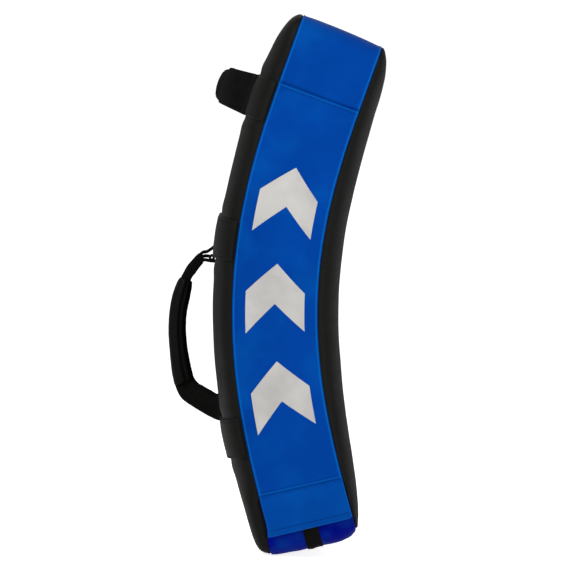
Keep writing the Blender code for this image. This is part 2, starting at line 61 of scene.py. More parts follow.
# how far each face stands above its seam, as (from the top end, rise), before its edge is rounded off
BACK_RISE = (
    (0.0, 0.0285),
    (0.027, 0.0275),
    (0.055, 0.0265),
    (0.088, 0.0278),
    (0.160, 0.0278),
    (0.215, 0.0270),
    (0.600, 0.0270),
    (0.640, 0.0256),
    (0.660, 0.0246),
    (0.728, 0.0246),
)
FRONT_RISE = (
    (0.0, 0.0145),
    (0.016, 0.0180),
    (0.040, 0.0204),
    (0.072, 0.0217),
    (0.130, 0.0241),
    (0.225, 0.0275),
    (0.300, 0.0285),
    (0.400, 0.0290),
    (0.480, 0.0281),
    (0.560, 0.0244),
    (0.620, 0.0205),
    (0.664, 0.0164),
    (0.705, 0.0125),
    (0.728, 0.0102),
)
# the end walls swell beyond the straight end, as (n, distance)
BOTTOM_SWELL = (
    (-0.0600, 0.0),
    (-0.0562, 0.0040),
    (-0.0517, 0.0072),
    (-0.0480, 0.0088),
    (-0.0360, 0.0106),
    (-0.0190, 0.0103),
    (0.0, 0.0096),
    (0.0240, 0.0082),
    (0.0450, 0.0068),
    (0.0589, 0.0058),
    (0.0650, 0.0040),
    (0.0700, 0.0010),
    (0.0740, 0.0),
)
TOP_SWELL = ((-0.0530, -0.0012), (0.0, 0.0011), (0.0600, 0.0034))
BOTTOM_SWELL_REACH = 0.020
TOP_SWELL_REACH = 0.030
HALF = WIDTH / 2
FLAT_X = HALF - CORNER
SEAM = G + 0.0003
TOP_SEAM = 0.0951
FLAP_SEAM = 0.0762
FLAP_EDGE = 0.0216
UPPER_BAND = (0.2860, 0.3376)
LOWER_BAND = (0.5399, 0.5921)
ARM_BAND = (0.0960, 0.1525)
BAND_TOP = 0.0918  # of the arm bands
ARCH_BASE = BAND_TOP + 0.0003
ARCH_ROOT = 0.088
ARCH_RISE = 0.0354
STRAP_TAPER = 0.0036
OUTER_TIP = 0.0105
INNER_PAD = 0.0057
PAD_END = -0.0130
STEPS = 1456


def smooth(u):
    u = min(1.0, max(0.0, u))
    return u * u * (3 - 2 * u)


def bend_angle(s):
    return math.radians(BEND) * smooth(
        (s - STRAIGHT_BOTTOM) / (LENGTH - STRAIGHT_TOP - STRAIGHT_BOTTOM)
    )


def trace():
    ds = LENGTH / STEPS
    y = z = 0.0
    points = [(0.0, 0.0)]
    for i in range(STEPS):
        a = bend_angle((i + 0.5) * ds)
        y -= math.sin(a) * ds
        z += math.cos(a) * ds
        points.append((y, z))
    turn = math.atan2(y, z)
    c, sn = math.cos(turn), math.sin(turn)
    return [(p * c - q * sn, p * sn + q * c) for p, q in points], turn


TRACE, TURN = trace()
SHIFT = (0.0, 0.0)


def from_table(table, v):
    if v <= table[0][0]:
        return table[0][1]
    for (a, p), (b, q) in zip(table, table[1:]):
        if v <= b:
            return p + (q - p) * (v - a) / (b - a)
    return table[-1][1]


def at(s, x, n):
    own = s
    if own < 0.044 and n > 0.030:  # the cover is stuffed out over the back seam at the lower end
        k = smooth((n - 0.030) / 0.030) if n < 0.060 else max(0.0, 1 - (n - 0.060) / 0.0285)
        n += 0.0052 * k * smooth(1 - own / 0.044)
    s += from_table(TOP_SWELL, n) * smooth(1 - (LENGTH - own) / TOP_SWELL_REACH)
    s -= from_table(BOTTOM_SWELL, n) * smooth(1 - own / BOTTOM_SWELL_REACH)
    f = min(max(s / LENGTH, 0.0), 1.0) * STEPS
    i = min(int(f), STEPS - 1)
    t = f - i
    y = TRACE[i][0] * (1 - t) + TRACE[i + 1][0] * t
    z = TRACE[i][1] * (1 - t) + TRACE[i + 1][1] * t
    a = bend_angle(s) + TURN
    over = s - min(max(s, 0.0), LENGTH)
    y -= math.sin(a) * over
    z += math.cos(a) * over
    return (
        x,
        y + math.cos(a) * n - SHIFT[0],
        z + math.sin(a) * n - SHIFT[1],
    )


def up(s):
    a = bend_angle(s) + TURN
    return Vector((0, -math.sin(a), math.cos(a)))


def out(s):
    a = bend_angle(s) + TURN
    return Vector((0, math.cos(a), math.sin(a)))


# the row frame's origin, from where the plain side wall is
wall_lo, wall_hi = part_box("far_side_gusset")
own = [at(s, HALF, n) for s in np.linspace(FLAP_SEAM + 0.0003, LENGTH - TOP_SEAM - 0.0003, 17) for n in (-G, G)]
SHIFT = (min(p[1] for p in own) - wall_lo.y, min(p[2] for p in own) - wall_lo.z)


def from_top(d):
    return LENGTH - d


def noise3(x, y, z, seed=0.0):
    return noise.noise(Vector((x + 17.3 * seed, y - 9.1 * seed, z + 4.7 * seed)))


# ------------------------------------------------------------------ materials
class Nodes:
    """A small helper to wire one material's nodes."""

    def __init__(self, name):
        self.m = bpy.data.materials.new(name)
        self.m.use_nodes = True
        self.t = self.m.node_tree
        self.shader = self.t.nodes["Principled BSDF"]
        self.object = self.t.nodes.new("ShaderNodeTexCoord").outputs["Object"]

    def add(self, kind, inputs=(), **props):
        n = self.t.nodes.new(kind)
        for k, v in props.items():
            setattr(n, k, v)
        for k, v in dict(inputs).items():
            if isinstance(v, bpy.types.NodeSocket):
                self.t.links.new(v, n.inputs[k])
            else:
                n.inputs[k].default_value = v
        return n

    def math(self, op, a, b=0.0, c=0.0):
        n = self.t.nodes.new("ShaderNodeMath")
        n.operation = op
        for i, v in enumerate((a, b, c)):
            if isinstance(v, bpy.types.NodeSocket):
                self.t.links.new(v, n.inputs[i])
            else:
                n.inputs[i].default_value = v
        return n.outputs[0]

    def noise(self, scale, detail=2.0, rough=0.5, where=None, dims="3D"):
        n = self.add(
            "ShaderNodeTexNoise",
            {"Vector": where or self.object, "Scale": scale, "Detail": detail, "Roughness": rough},
            noise_dimensions=dims,
        )
        return n.outputs["Fac"]

    def ramp(self, value, stops):
        n = self.t.nodes.new("ShaderNodeValToRGB")
        self.t.links.new(value, n.inputs[0])
        e = n.color_ramp.elements
        while len(e) < len(stops):
            e.new(0.5)
        for k, (p, c) in enumerate(stops):
            e[k].position = p
            e[k].color = (*c, 1) if hasattr(c, "__len__") else (c, c, c, 1)
        return n.outputs[0]

    def mix(self, fac, a, b, kind="MIX"):
        n = self.t.nodes.new("ShaderNodeMix")
        n.data_type = "RGBA"
        n.blend_type = kind
        n.clamp_factor = True
        for i, v in ((0, fac), (6, a), (7, b)):
            if isinstance(v, bpy.types.NodeSocket):
                self.t.links.new(v, n.inputs[i])
            else:
                n.inputs[i].default_value = (*v, 1) if hasattr(v, "__len__") else v
        return n.outputs[2]

    def bump(self, height, distance, strength=1.0, after=None):
        n = self.add("ShaderNodeBump", {"Height": height, "Distance": distance, "Strength": strength})
        if after is not None:
            self.t.links.new(after, n.inputs["Normal"])
        return n.outputs[0]

    def attribute(self, name):
        return self.add("ShaderNodeAttribute", attribute_name=name).outputs["Fac"]

    def done(self, colour=None, rough=None, normal=None, **fixed):
        for socket, v in (("Base Color", colour), ("Roughness", rough), ("Normal", normal)):
            if isinstance(v, bpy.types.NodeSocket):
                self.t.links.new(v, self.shader.inputs[socket])
            elif v is not None:
                self.shader.inputs[socket].default_value = (*v, 1) if hasattr(v, "__len__") else v
        for k, v in fixed.items():
            self.shader.inputs[k.replace("_", " ")].default_value = v
        return self.m


def scaled(c, k):
    return tuple(min(1.0, v * k) for v in c)


def leather(name, colour, rough, level, grain=0.00013, cell=0.0012, edge=None, sheen=0.0, light=None, tint=(1, 1, 1)):
    """Pebbled synthetic leather. The mesh's "edge" attribute mixes in the edge colour along turned edges, welts and
    hems: a painted highlight where they catch the light.
    """
    n = Nodes(name)
    wander = n.noise(90.0, 2.0)
    place = n.add("ShaderNodeVectorMath", {0: n.object}, operation="ADD")
    drift = n.add("ShaderNodeTexNoise", {"Vector": n.object, "Scale": 420.0, "Detail": 1.0})
    shifted = n.add("ShaderNodeVectorMath", {0: drift.outputs["Color"], "Scale": 0.0009}, operation="SCALE")
    n.t.links.new(shifted.outputs[0], place.inputs[1])
    cells = n.add("ShaderNodeTexVoronoi", {"Vector": place.outputs[0], "Scale": 1 / cell}, feature="DISTANCE_TO_EDGE")
    pebble = n.ramp(cells.outputs["Distance"], ((0.0, 0.0), (0.22, 0.75), (0.6, 1.0)))
    fine = n.noise(2600.0, 2.0)
    height = n.math("ADD", n.math("MULTIPLY", pebble, 0.8), n.math("MULTIPLY", fine, 0.25))
    height = n.math("MULTIPLY", height, n.math("ADD", n.math("MULTIPLY", wander, 0.9), 0.45))
    broad = n.noise(11.0, 3.0)
    tone = n.mix(n.ramp(broad, ((0.3, 0.0), (0.7, 1.0))), scaled(colour, 0.90), scaled(colour, 1.10))
    # painted shade: the cracks between the pebbles are darkened
    tone = n.mix(n.math("MULTIPLY", n.math("SUBTRACT", 1.0, pebble), 0.35), tone, scaled(colour, 0.55))
    # painted highlight: the edge colour is laid on where the mesh's edge attribute is high
    if edge is not None:
        tone = n.mix(n.attribute("edge"), tone, edge)
    # painted highlight: the light colour in scattered noise patches, and along seam ridges where the mesh's light
    # attribute is high
    if light is not None:
        tone = n.mix(n.ramp(n.noise(17.0, 2.0), ((0.48, 0.0), (0.74, 0.36))), tone, light)
        tone = n.mix(n.attribute("light"), tone, light)
    gloss = n.math("ADD", n.math("MULTIPLY", n.noise(34.0, 3.0), 0.16), rough - 0.08)
    gloss = n.math("ADD", gloss, n.math("MULTIPLY", n.math("SUBTRACT", 1.0, pebble), 0.10))
    normal = n.bump(height, grain, 0.9)
    return n.done(
        tone,
        gloss,
        normal,
        Specular_IOR_Level=level,
        Specular_Tint=(*tint, 1),
        Sheen_Weight=sheen,
        Sheen_Roughness=0.4,
    )


def weave(name, colour, rough, level, pitch=0.0016, depth=0.00028, sheen=0.0, rib=1.0):
    """Webbing: a herringbone of ribs, on UVs that are in metres along and across the strap."""
    n = Nodes(name)
    uv = n.add("ShaderNodeUVMap", uv_map="strap").outputs[0]
    parts = n.add("ShaderNodeSeparateXYZ", {0: uv})
    u, v = parts.outputs[0], parts.outputs[1]
    k = 2 * math.pi / pitch
    ridge = n.math("ABSOLUTE", n.math("SUBTRACT", n.math("FRACT", n.math("MULTIPLY", v, 1 / 0.0076)), 0.5))
    lean = n.math("MULTIPLY", ridge, 0.0076 * k * 1.1)
    rows = n.math("SINE", n.math("ADD", n.math("MULTIPLY", u, k), lean))
    ends = n.math("SINE", n.math("MULTIPLY", v, 2 * math.pi / 0.00095))
    height = n.math("ADD", n.math("MULTIPLY", rows, 0.5), n.math("MULTIPLY", ends, 0.30 * rib))
    fuzz = n.noise(2200.0, 2.0)
    height = n.math("ADD", height, n.math("MULTIPLY", fuzz, 0.5))
    # painted highlight and shade: the raised ribs are lightened and the valleys between them darkened
    tone = n.mix(n.ramp(height, ((0.0, 0.0), (1.0, 1.0))), scaled(colour, 0.55), scaled(colour, 1.5))
    tone = n.mix(n.ramp(n.noise(40.0, 3.0), ((0.35, 0.0), (0.7, 1.0))), tone, scaled(colour, 1.25))
    normal = n.bump(height, depth, 0.9)
    return n.done(tone, rough, normal, Specular_IOR_Level=level, Sheen_Weight=sheen, Sheen_Roughness=0.5)


def pile(name, colour, rough=0.95, loops=1500.0, depth=0.0005, level=0.15):
    """Hook or loop tape, and napped strap fabric."""
    n = Nodes(name)
    cells = n.add("ShaderNodeTexVoronoi", {"Vector": n.object, "Scale": loops}, feature="F1")
    hair = n.noise(3600.0, 3.0, 0.7)
    height = n.math("ADD", n.math("MULTIPLY", cells.outputs["Distance"], -0.8), n.math("MULTIPLY", hair, 0.6))
    # painted highlight and shade: the loop tops are lightened and the hollows between them darkened
    tone = n.mix(n.ramp(cells.outputs["Distance"], ((0.0, 0.0), (0.8, 1.0))), scaled(colour, 1.5), scaled(colour, 0.4))
    tone = n.mix(n.ramp(n.noise(55.0, 3.0), ((0.3, 0.0), (0.75, 1.0))), tone, scaled(colour, 1.35))
    normal = n.bump(height, depth, 1.0)
    return n.done(tone, rough, normal, Specular_IOR_Level=level, Sheen_Weight=0.006, Sheen_Roughness=0.6)


def cloth(name, colour, rough, level, thread=0.0007, depth=0.00012, sheen=0.0, tint=(1, 1, 1), cloud=None):
    """Plain woven nylon, on object coordinates turned to the wall."""
    n = Nodes(name)
    parts = n.add("ShaderNodeSeparateXYZ", {0: n.object})
    k = 2 * math.pi / thread
    one = n.math("SINE", n.math("MULTIPLY", n.math("ADD", parts.outputs[2], n.math("MULTIPLY", parts.outputs[1], -0.32)), k))
    two = n.math("SINE", n.math("MULTIPLY", n.math("ADD", parts.outputs[1], n.math("MULTIPLY", parts.outputs[2], 0.32)), k))
    three = n.math("SINE", n.math("MULTIPLY", parts.outputs[0], k))
    height = n.math("ADD", n.math("MULTIPLY", one, two), n.math("MULTIPLY", three, 0.5))
    fuzz = n.noise(2400.0, 2.0)
    height = n.math("ADD", height, n.math("MULTIPLY", fuzz, 0.8))
    tone = n.mix(n.ramp(n.noise(14.0, 3.0), ((0.3, 0.0), (0.7, 1.0))), scaled(colour, 0.86), scaled(colour, 1.18))
    if cloud is not None:
        tone = n.mix(n.ramp(n.noise(26.0, 2.0), ((0.50, 0.0), (0.74, 1.0))), tone, cloud)
    normal = n.bump(height, depth, 0.8)
    return n.done(
        tone,
        rough,
        normal,
        Specular_IOR_Level=level,
        Specular_Tint=(*tint, 1),
        Sheen_Weight=sheen,
        Sheen_Roughness=0.4,
    )


# each edge= colour below is a painted highlight for turned edges and welts; each light= colour is a painted highlight
# for seam ridges and patches
BLACK = leather("black_leather", (0.0050, 0.0050, 0.0045), 0.52, 0.070, edge=(0.012, 0.012, 0.011))
BLACK_STRAP = leather("strap_leather", (0.0025, 0.0025, 0.0022), 0.44, 0.06, edge=(0.009, 0.009, 0.008))
BLUE = leather(
    "blue_leather", (0.0003, 0.0370, 0.243), 0.55, 0.10, grain=0.00009, edge=(0.001, 0.095, 0.37), light=(0.0006, 0.072, 0.300), tint=(0.04, 0.42, 1.0)
)
# the flap's leather is a lighter copy of the blue leather: painted light for the flap tilting toward the lamps; its
# roughness and gloss differ too
FLAP_BLUE_LIT = leather("flap_leather_lit", (0.0003, 0.0440, 0.256), 0.50, 0.14, grain=0.00009, edge=(0.002, 0.090, 0.35), light=(0.0006, 0.078, 0.315), tint=(0.04, 0.45, 1.0))
DEEP = cloth("deep_blue_nylon", (0.0003, 0.0020, 0.180), 0.50, 0.07, tint=(0.03, 0.25, 1.0), cloud=(0.0006, 0.022, 0.205))
WEBBING = weave("black_webbing", (0.0036, 0.0036, 0.0033), 0.75, 0.04, sheen=0.0)
LOOP = pile("loop_fabric", (0.0036, 0.0036, 0.0035), level=0.03)
HOOK = pile("hook_tape", (0.009, 0.009, 0.009), 0.8, 900.0, 0.0007, 0.15)
PRINT = cloth("print_ink", (0.365, 0.358, 0.345), 0.60, 0.06, thread=0.0011, depth=0.00004, cloud=(0.40, 0.393, 0.38))
THREAD_BLACK = cloth("thread_black", (0.0055, 0.0055, 0.005), 0.55, 0.08, thread=0.0004, depth=0.0001)
THREAD_BLUE = cloth("thread_blue", (0.0004, 0.010, 0.095), 0.55, 0.06, thread=0.0004, depth=0.0001)
FOAM = cloth("foam", (0.55, 0.53, 0.48), 0.95, 0.1, thread=0.003, depth=0.0004)


# ------------------------------------------------------------------ mesh building
def make(name, verts, faces, look, uvs=None, attributes=None, crisp=40, body="shell"):
    mesh = bpy.data.meshes.new(name)
    mesh.from_pydata([tuple(v) for v in verts], [], faces)
    mesh.validate()
    if uvs is not None:
        layer = mesh.uv_layers.new(name="strap")
        loops = np.zeros(len(mesh.loops), np.int32)
        mesh.loops.foreach_get("vertex_index", loops)
        layer.data.foreach_set("uv", np.asarray(uvs, np.float32)[loops].ravel())
    for key, values in (attributes or {}).items():
        a = mesh.attributes.new(key, "FLOAT", "POINT")
        a.data.foreach_set("value", np.asarray(values, np.float32))
    mesh.shade_smooth()
    mesh.set_sharp_from_angle(angle=math.radians(crisp))
    mesh.materials.append(look)
    o = bpy.data.objects.new(name, mesh)
    bpy.context.scene.collection.objects.link(o)
    if body:
        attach(o, body)
    return o


def normals_of(P):
    """Unit normals of a grid of points, from its two directions."""
    du = np.gradient(P, axis=0)
    dv = np.gradient(P, axis=1)
    n = np.cross(dv, du)
    return n / np.maximum(np.linalg.norm(n, axis=2, keepdims=True), 1e-12)


def grid_faces(m, n, offset=0, flip=False, wrap=False):
    found = []
    for i in range(m - 1):
        for j in range(n if wrap else n - 1):
            k = (j + 1) % n
            q = (
                offset + i * n + j,
                offset + i * n + k,
                offset + (i + 1) * n + k,
                offset + (i + 1) * n + j,
            )
            found.append(q[::-1] if flip else q)
    return found


def shell(name, upper, lower, look, uv=None, edge=None, extra=None, crisp=40, body="shell"):
    """A closed sheet between two grids (rows, columns, 3). The upper one faces out."""
    upper, lower = np.asarray(upper, float), np.asarray(lower, float)
    m, n = upper.shape[:2]
    verts = np.concatenate([upper.reshape(-1, 3), lower.reshape(-1, 3)])
    up_n = normals_of(upper).reshape(-1, 3)
    away = (upper - lower).reshape(-1, 3)
    flip = (up_n * away).sum() < 0
    faces = grid_faces(m, n, 0, not flip) + grid_faces(m, n, m * n, flip)
    rim = (
        [(0, j) for j in range(n)]
        + [(i, n - 1) for i in range(1, m)]
        + [(m - 1, j) for j in range(n - 2, -1, -1)]
        + [(i, 0) for i in range(m - 2, 0, -1)]
    )
    for k, (i, j) in enumerate(rim):
        p, q = rim[(k + 1) % len(rim)]
        f = (i * n + j, p * n + q, m * n + p * n + q, m * n + i * n + j)
        faces.append(f if not flip else f[::-1])
    uvs = None
    if uv is not None:
        flat = np.asarray(uv, float).reshape(-1, 2)
        uvs = np.concatenate([flat, flat])
    attributes = {}
    if edge is not None:
        e = np.asarray(edge, float).ravel()
        attributes["edge"] = np.concatenate([e, e])
    for key, value in (extra or {}).items():
        e = np.asarray(value, float).ravel()
        attributes[key] = np.concatenate([e, e])
    return make(name, verts, faces, look, uvs, attributes, crisp, body)


def line_of(points, count):
    """A polyline resampled to count points evenly along it."""
    p = np.asarray(points, float)
    d = np.concatenate([[0], np.cumsum(np.linalg.norm(np.diff(p, axis=0), axis=1))])
    t = np.linspace(0, d[-1], count)
    return np.stack([np.interp(t, d, p[:, k]) for k in range(p.shape[1])], axis=1)


def stitch_mesh(rows, pitch=0.0040, share=0.68, width=0.00042, height=0.00040, sides=6):
    """Thread showing in short stitches along rows of (points, normals)."""
    verts, faces = [], []
    for points, nrm in rows:
        p = np.asarray(points, float)
        q = np.asarray(nrm, float)
        d = np.concatenate([[0], np.cumsum(np.linalg.norm(np.diff(p, axis=0), axis=1))])
        total = d[-1]
        count = max(1, int(total / pitch))
        step = total / count
        look_up = lambda t, a: np.array([np.interp(t, d, a[:, k]) for k in range(3)])
        for k in range(count):
            t0 = k * step + step * (1 - share) / 2
            t1 = t0 + step * share
            base = len(verts)
            for r, f in enumerate((0.0, 0.12, 0.5, 0.88, 1.0)):
                t = t0 + (t1 - t0) * f
                c, nn = look_up(t, p), look_up(t, q)
                nn /= np.linalg.norm(nn)
                ahead = look_up(min(total, t + 1e-4), p) - look_up(max(0, t - 1e-4), p)
                ahead /= np.linalg.norm(ahead)
                side = np.cross(ahead, nn)
                side /= np.linalg.norm(side)
                lift = (-0.0005, 0.0, 0.00012, 0.0, -0.0005)[r]
                size = (0.45, 0.9, 1.0, 0.9, 0.45)[r]
                for h in range(sides):
                    a = 2 * math.pi * h / sides
                    verts.append(
                        c + nn * (lift + math.sin(a) * height * size) + side * (math.cos(a) * width * size)
                    )
            for r in range(4):
                for h in range(sides):
                    a, b = base + r * sides + h, base + r * sides + (h + 1) % sides
                    faces.append((a, b, b + sides, a + sides))
            faces.append(tuple(base + h for h in range(sides))[::-1])
            faces.append(tuple(base + 4 * sides + h for h in range(sides)))
    return verts, faces


def stitches(name, rows, look, body="shell", **kw):
    verts, faces = stitch_mesh(rows, **kw)
    return make(name, verts, faces, look, body=body, crisp=180)


# ------------------------------------------------------------------ the two big faces
def rise(side, s):
    return from_table(BACK_RISE if side > 0 else FRONT_RISE, LENGTH - s)


def radius_of(s, x):
    a = min(1.0, max(0.0, (abs(x) - FLAT_X) / CORNER))
    b = min(1.0, max(0.0, 1 - min(s, LENGTH - s) / CORNER))
    return min(1.0, (a**POWER + b**POWER) ** (1 / POWER))


def face_n(side, s, x):
    r = radius_of(s, x)
    # the back is stuffed fuller into its lower edge
    full = 1 - smooth((s - 0.060) / 0.060) if side > 0 else 0.0
    h = max(0.0, 1 - r ** (2 + full)) ** (0.5 - 0.22 * full)
    return side * (SEAM + rise(side, s) * h)


def fine_rows(mid):
    phis = [0, 1.5, 3, 5] + list(range(9, 90, 4)) + [90]
    ends = []
    for p in phis:
        b = math.cos(math.radians(p))
        ends.append((CORNER * (1 - b), FLAT_X + CORNER * max(0.0, 1 - b**POWER) ** (1 / POWER)))
    body = [(CORNER + (LENGTH - 2 * CORNER) * i / mid, HALF) for i in range(1, mid)]
    return ends + body + [(LENGTH - d, w) for d, w in reversed(ends)]


def fine_columns(w, mid=26):
    full = [FLAT_X + CORNER * math.cos(math.radians(t)) for t in list(range(86, 5, -4)) + [3, 1.2, 0]]
    right = [FLAT_X * i / (mid / 2) for i in range(1, mid // 2 + 1)] + full
    k = w / HALF
    return [-v * k for v in reversed(right)] + [0.0] + [v * k for v in right]


def band_press(s, x, side):
    """How far the cover is held down by the bands that cross the back."""
    if side < 0:
        return 0.0
    d = LENGTH - s
    held = 0.0
    for a, b, inner in ((*UPPER_BAND, 0.0), (*LOWER_BAND, 0.0), (*ARM_BAND, 0.074)):
        if abs(x) < inner:
            continue
        gap = max(a - d, d - b, 0.0)
        held = max(held, math.exp(-((gap / 0.006) ** 2)))
    return held


def relief(side, s, x):
    """Height of the cover's own unevenness over the smooth face, in metres."""
    r = radius_of(s, x)
    rim = 1 - r
    free = smooth(rim / 0.12)
    held = band_press(s, x, side)
    wide = noise3(s * 9, x * 9, 0.3, side) * 0.0011 + noise3(s * 24, x * 24, 1.3, side) * 0.00045
    # short puckers that run square to the seam and fade within 30 mm of it
    along = s if abs(x) > HALF - 0.05 and CORNER < s < LENGTH - CORNER else math.atan2(abs(x), 0.3) * 0.3 + s
    fade = math.exp(-rim / 0.10) * smooth(rim / 0.004)
    pucker = noise3(along * 70, 3.1 * side, math.copysign(2.0, x), 2) + 0.5 * noise3(along * 160, 1.0, math.copysign(1.0, x), 3)
    pucker *= 0.00085 * fade
    # the cover swells a little beside each band and is pinned under it
    swell = 0.0
    if side > 0:
        d = LENGTH - s
        for a, b, inner in ((*UPPER_BAND, 0.0), (*LOWER_BAND, 0.0), (*ARM_BAND, 0.074)):
            if abs(x) >= inner:
                gap = max(a - d, d - b)
                swell += 0.0010 * math.exp(-(((gap - 0.014) / 0.009) ** 2)) * free
    return (wide * free + pucker + swell) * (1 - held) - 0.0005 * held


def panel(name, side, look, nodes):
    rows = fine_rows(110)
    P, E, S, X = [], [], [], []
    for s, w in rows:
        line, e = [], []
        for x in fine_columns(w):
            line.append(at(s, x, face_n(side, s, x)))
            e.append(0.0)
            S.append(s)
            X.append(x)
        P.append(line)
        E.append(e)
    P = np.array(P)
    m, n = P.shape[:2]
    N = normals_of(P)
    if (N[m // 2, n // 2] @ np.array(out(0.36))) * side < 0:
        N = -N
    # ends of rows have poor normals: they point straight out of the outline instead
    R = np.array([relief(side, s, x) for s, x in zip(S, X)]).reshape(m, n)
    P = P + N * R[..., None]
    # the outermost ring turns in under the side wall's edge
    ring = np.zeros((m, n), bool)
    ring[0, :] = ring[-1, :] = ring[:, 0] = ring[:, -1] = True
    S, X = np.array(S).reshape(m, n), np.array(X).reshape(m, n)
    for i in range(m):
        for j in range(n):
            if ring[i, j]:
                s, x = S[i, j], X[i, j]
                a = max(0.0, (abs(x) - FLAT_X) / CORNER)
                b = max(0.0, 1 - min(s, LENGTH - s) / CORNER)
                nx, ns = a ** (POWER - 1), b ** (POWER - 1)
                size = math.hypot(nx, ns) or 1.0
                inset = 0.0021
                x2 = x - math.copysign(inset * nx / size, x)
                s2 = s + (inset if s < LENGTH / 2 else -inset) * ns / size
                P[i, j] = at(s2, x2, side * (SEAM - 0.0012))
    inner = P - N * 0.0014
    for i in range(m):
        for j in range(n):
            if ring[i, j]:
                inner[i, j] = P[i, j] + np.array(out(S[i, j])) * (-0.0008 * side) - N[i, j] * 0.0
    o = shell(name, P, inner, look, edge=np.zeros((m, n)), crisp=60)
    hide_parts(*nodes)
    return o


back_cover = panel("back_cover", 1, BLACK, ("back_panel", "backing_foam"))
striking_cover = panel("striking_cover", -1, BLACK, ("striking_panel", "impact_foam", "foam_core"))


# ------------------------------------------------------------------ side walls
def outline(top, d0, d1, step=0.0045):
    """(s, x, normal s, normal x) round an end, from the -X wall d0 from the end to the +X wall d1 from it."""
    quarter = []
    for k in range(400):
        t = math.radians(90 * k / 399)
        a, b = max(0.0, math.cos(t)) ** (2 / POWER), max(0.0, math.sin(t)) ** (2 / POWER)
        quarter.append((CORNER * (1 - b), FLAT_X + CORNER * a))
    quarter = quarter[::-1]  # from the end wall to the side wall

    def flank(d_end):
        pts = [q for q in quarter if q[0] <= min(d_end, CORNER)]
        if d_end > CORNER:
            pts.append((d_end, HALF))
        else:
            b = 1 - d_end / CORNER
            pts.append((d_end, FLAT_X + CORNER * (1 - b**POWER) ** (1 / POWER)))
        return pts

    left = [(d, -x) for d, x in flank(d0)][::-1]
    right = flank(d1)
    pts = np.array(left + right)
    total = np.linalg.norm(np.diff(pts, axis=0), axis=1).sum()
    pts = line_of(pts, int(total / step))
    found = []
    for d, x in pts:
        a = max(0.0, (abs(x) - FLAT_X) / CORNER)
        b = max(0.0, 1 - d / CORNER)
        ns, nx = b ** (POWER - 1), a ** (POWER - 1)
        if d >= CORNER:
            ns, nx = 0.0, 1.0
        size = math.hypot(ns, nx) or 1.0
        found.append((LENGTH - d if top else d, x, (ns if top else -ns) / size, math.copysign(nx / size, x)))
    return found


def wall_profile(u):
    """How far the side wall stands out of its flat place, u from its middle line."""
    u = abs(u) * 1000
    crown = 1.7 * (1 - min(1.0, u / 60) ** 2.4)
    welt = 0.75 * math.exp(-(((u - 57.4) / 1.15) ** 2))
    dip = -1.9 * smooth((u - 58.2) / 1.8)
    return (crown + welt + dip) / 1000


def wall_columns(count=46):
    c = []
    for k in range(count + 1):
        t = -1 + 2 * k / count
        c.append(G * (math.copysign(1 - (1 - abs(t)) ** 1.35, t)))
    extra = [0.0555, 0.0562, 0.0568, 0.0574, 0.058, 0.0586, 0.0592, 0.0597]
    c = sorted(set([round(v, 6) for v in c if abs(v) < 0.0552] + [-G, G] + extra + [-v for v in extra]))
    return c


def tilted(s, n):
    """The two seams across each side wall don't run quite square to it."""
    s += 0.0119 * n * smooth(1 - abs(s - (LENGTH - TOP_SEAM)) / 0.05)
    below = s < FLAP_SEAM
    return s + 0.0300 * n * smooth(1 - abs(s - FLAP_SEAM) / (0.030 if below else 0.05))


def under_flap(s, x):
    """1 where the end wall lies flat under the closure flap and its tape."""
    return smooth((-x - 0.10) / 0.03) * smooth((s - 0.020) / 0.010)


def gusset(name, stations, look, node, rim=None, waves=0.00035, lift=0.0, deep=False, light=None):
    """A side wall along stations. rim(k) gives how far the cloth stands out near its two sewn ends."""
    cols = wall_columns()
    P, Q, E, W = [], [], [], []
    run = 0.0
    last = None
    for k, (s, x, ns, nx) in enumerate(stations):
        here = np.array([s, x])
        if last is not None:
            run += float(np.linalg.norm(here - last))
        last = here
        line, under, e, w = [], [], [], []
        for n in cols:
            u = abs(n)
            o = wall_profile(n) + lift
            flat = smooth((0.056 - u) / 0.02)
            o += waves * flat * noise3(run * 22, n * 26, 4.0, 5 if not deep else 7) * (1 - under_flap(s, x) if deep else 1)
            o += (rim(k, n) if rim else 0.0) * smooth((0.0592 - u) / 0.0015)
            t = tilted(s, n)
            line.append(at(t + ns * o, x + nx * o, n))
            under.append(at(t + ns * (o - 0.0012), x + nx * (o - 0.0012), n))
            # painted highlight: the welt along each long edge of the wall is mixed toward the edge colour
            e.append(0.85 * math.exp(-(((u - 0.0574) / 0.0011) ** 2)))
            # painted highlight along the raised folds beside the cross seams, weighted by light()
            w.append(light(k, n) if light else 0.0)
        P.append(line)
        Q.append(under)
        E.append(e)
        W.append(w)
    o = shell(name, P, Q, look, edge=E, extra={"light": W}, crisp=70)
    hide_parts(node)
    return o


def seam_end(distance, ridge, dip, ridge_at, width):
    """Relief beside a cross seam: a raised fold, then the groove the seam sits in."""
    return ridge * math.exp(-(((distance - ridge_at) / width) ** 2)) - dip * math.exp(-((distance / 0.0011) ** 2))


def side_stations(sign):
    lo, hi = FLAP_SEAM, LENGTH - TOP_SEAM
    ds = [0, 0.0006, 0.0012, 0.0018, 0.0024, 0.003, 0.0036, 0.0043, 0.0052, 0.0065, 0.008]
    body = list(np.linspace(lo + 0.011, hi - 0.011, 150))
    all_s = [lo + d for d in ds] + body + [hi - d for d in reversed(ds)]
    return [(s, sign * HALF, 0.0, float(sign)) for s in all_s]


